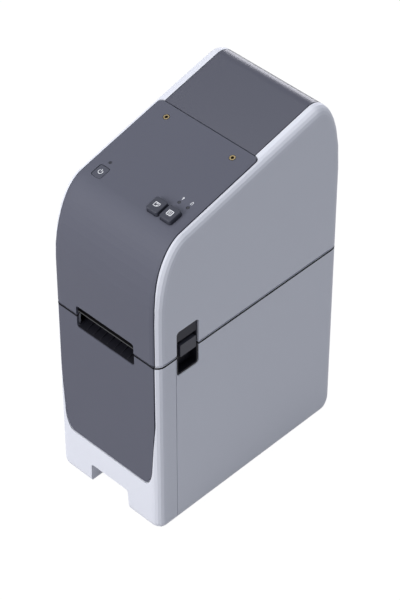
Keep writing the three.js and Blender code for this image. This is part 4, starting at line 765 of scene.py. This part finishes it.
def makeFloor():
    half = floorSettings["size"] / 2
    mesh = bpy.data.meshes.new("floor")
    corners = [(-half, -half, 0), (half, -half, 0), (half, half, 0), (-half, half, 0)]
    mesh.from_pydata(corners, [], [(0, 1, 2, 3)])
    floor = bpy.data.objects.new("floor", mesh)
    bpy.context.scene.collection.objects.link(floor)
    floor.location.z = -floorSettings["drop"]
    material, shader = newMaterial("floorPaper", floorSettings["colour"])
    shader.inputs["Roughness"].default_value = floorSettings["roughness"]
    tree = material.node_tree
    glow = tree.nodes.new("ShaderNodeEmission")
    glow.inputs["Color"].default_value = (1, 1, 1, 1)
    glow.inputs["Strength"].default_value = floorSettings["glow"]
    ray = tree.nodes.new("ShaderNodeLightPath")
    seen = addMath(tree, "MULTIPLY", ray.outputs["Is Camera Ray"], 1 - floorSettings["shadowShare"])
    mirrored = addMath(tree, "MULTIPLY", ray.outputs["Is Glossy Ray"], floorSettings["mirroredShare"])
    share = addMath(tree, "ADD", seen, mirrored)
    blend = tree.nodes.new("ShaderNodeMixShader")
    tree.links.new(share, blend.inputs["Fac"])
    tree.links.new(shader.outputs["BSDF"], blend.inputs[1])
    tree.links.new(glow.outputs["Emission"], blend.inputs[2])
    tree.links.new(blend.outputs["Shader"], tree.nodes["Material Output"].inputs["Surface"])
    mesh.materials.append(material)


skySettings = {"light": 0.36, "colour": (0.86, 0.91, 1.0)}


def makeSky():
    world = bpy.data.worlds.new("studio")
    bpy.context.scene.world = world
    world.use_nodes = True
    tree = world.node_tree
    dim = tree.nodes["Background"]
    dim.inputs["Color"].default_value = (*skySettings["colour"], 1)
    dim.inputs["Strength"].default_value = skySettings["light"]
    bright = tree.nodes.new("ShaderNodeBackground")
    bright.inputs["Color"].default_value = (1, 1, 1, 1)
    ray = tree.nodes.new("ShaderNodeLightPath")
    blend = tree.nodes.new("ShaderNodeMixShader")
    tree.links.new(ray.outputs["Is Camera Ray"], blend.inputs["Fac"])
    tree.links.new(dim.outputs["Background"], blend.inputs[1])
    tree.links.new(bright.outputs["Background"], blend.inputs[2])
    tree.links.new(blend.outputs["Shader"], tree.nodes["World Output"].inputs["Surface"])


# name, direction it shines from, distance, size, power in watts and colour
lightAim = (0, 0, 0.15)
lightSettings = [
    ("frontSoftbox", (-0.22, -1.0, 0.5), 2.4, 1.3, 38, (1.0, 0.99, 0.98)),
    ("topSoftbox", (-0.15, -0.1, 1.0), 2.4, 2.2, 24, (1.0, 1.0, 1.0)),
    ("rearCard", (-0.52, 0.83, 0.1), 2.6, 1.6, 30, (0.93, 0.92, 1.0)),
]


def addLight(name, direction, distance, size, power, colour):
    data = bpy.data.lights.new(name, "AREA")
    data.shape = "SQUARE"
    data.size = size
    data.energy = power
    data.color = colour
    light = bpy.data.objects.new(name, data)
    bpy.context.scene.collection.objects.link(light)
    toLight = Vector(direction).normalized()
    light.location = Vector(lightAim) + toLight * distance
    light.rotation_euler = toLight.to_track_quat("Z", "Y").to_euler()
    light.visible_camera = False


cameraSettings = {
    "azimuth": 44.45,
    "elevation": 42.6,
    "distance": 1.92,
    "lens": 150.9,
    "sensor": 36,
    "clip": (0.05, 100),
    "aim": (0.0022, 0.0, 0.1492),
}


def makeCamera():
    data = bpy.data.cameras.new("camera")
    data.sensor_width = cameraSettings["sensor"]
    data.lens = cameraSettings["lens"]
    data.clip_start, data.clip_end = cameraSettings["clip"]
    camera = bpy.data.objects.new("camera", data)
    bpy.context.scene.collection.objects.link(camera)
    a = math.radians(cameraSettings["azimuth"])
    e = math.radians(cameraSettings["elevation"])
    back = Vector((math.sin(a) * math.cos(e), -math.cos(a) * math.cos(e), math.sin(e)))
    camera.location = Vector(cameraSettings["aim"]) + back * cameraSettings["distance"]
    camera.rotation_euler = back.to_track_quat("Z", "Y").to_euler()
    bpy.context.scene.camera = camera


makeFloor()
makeSky()
for light in lightSettings:
    addLight(*light)
makeCamera()
bpy.context.scene.view_settings.view_transform = "Standard"
print("stage ready")
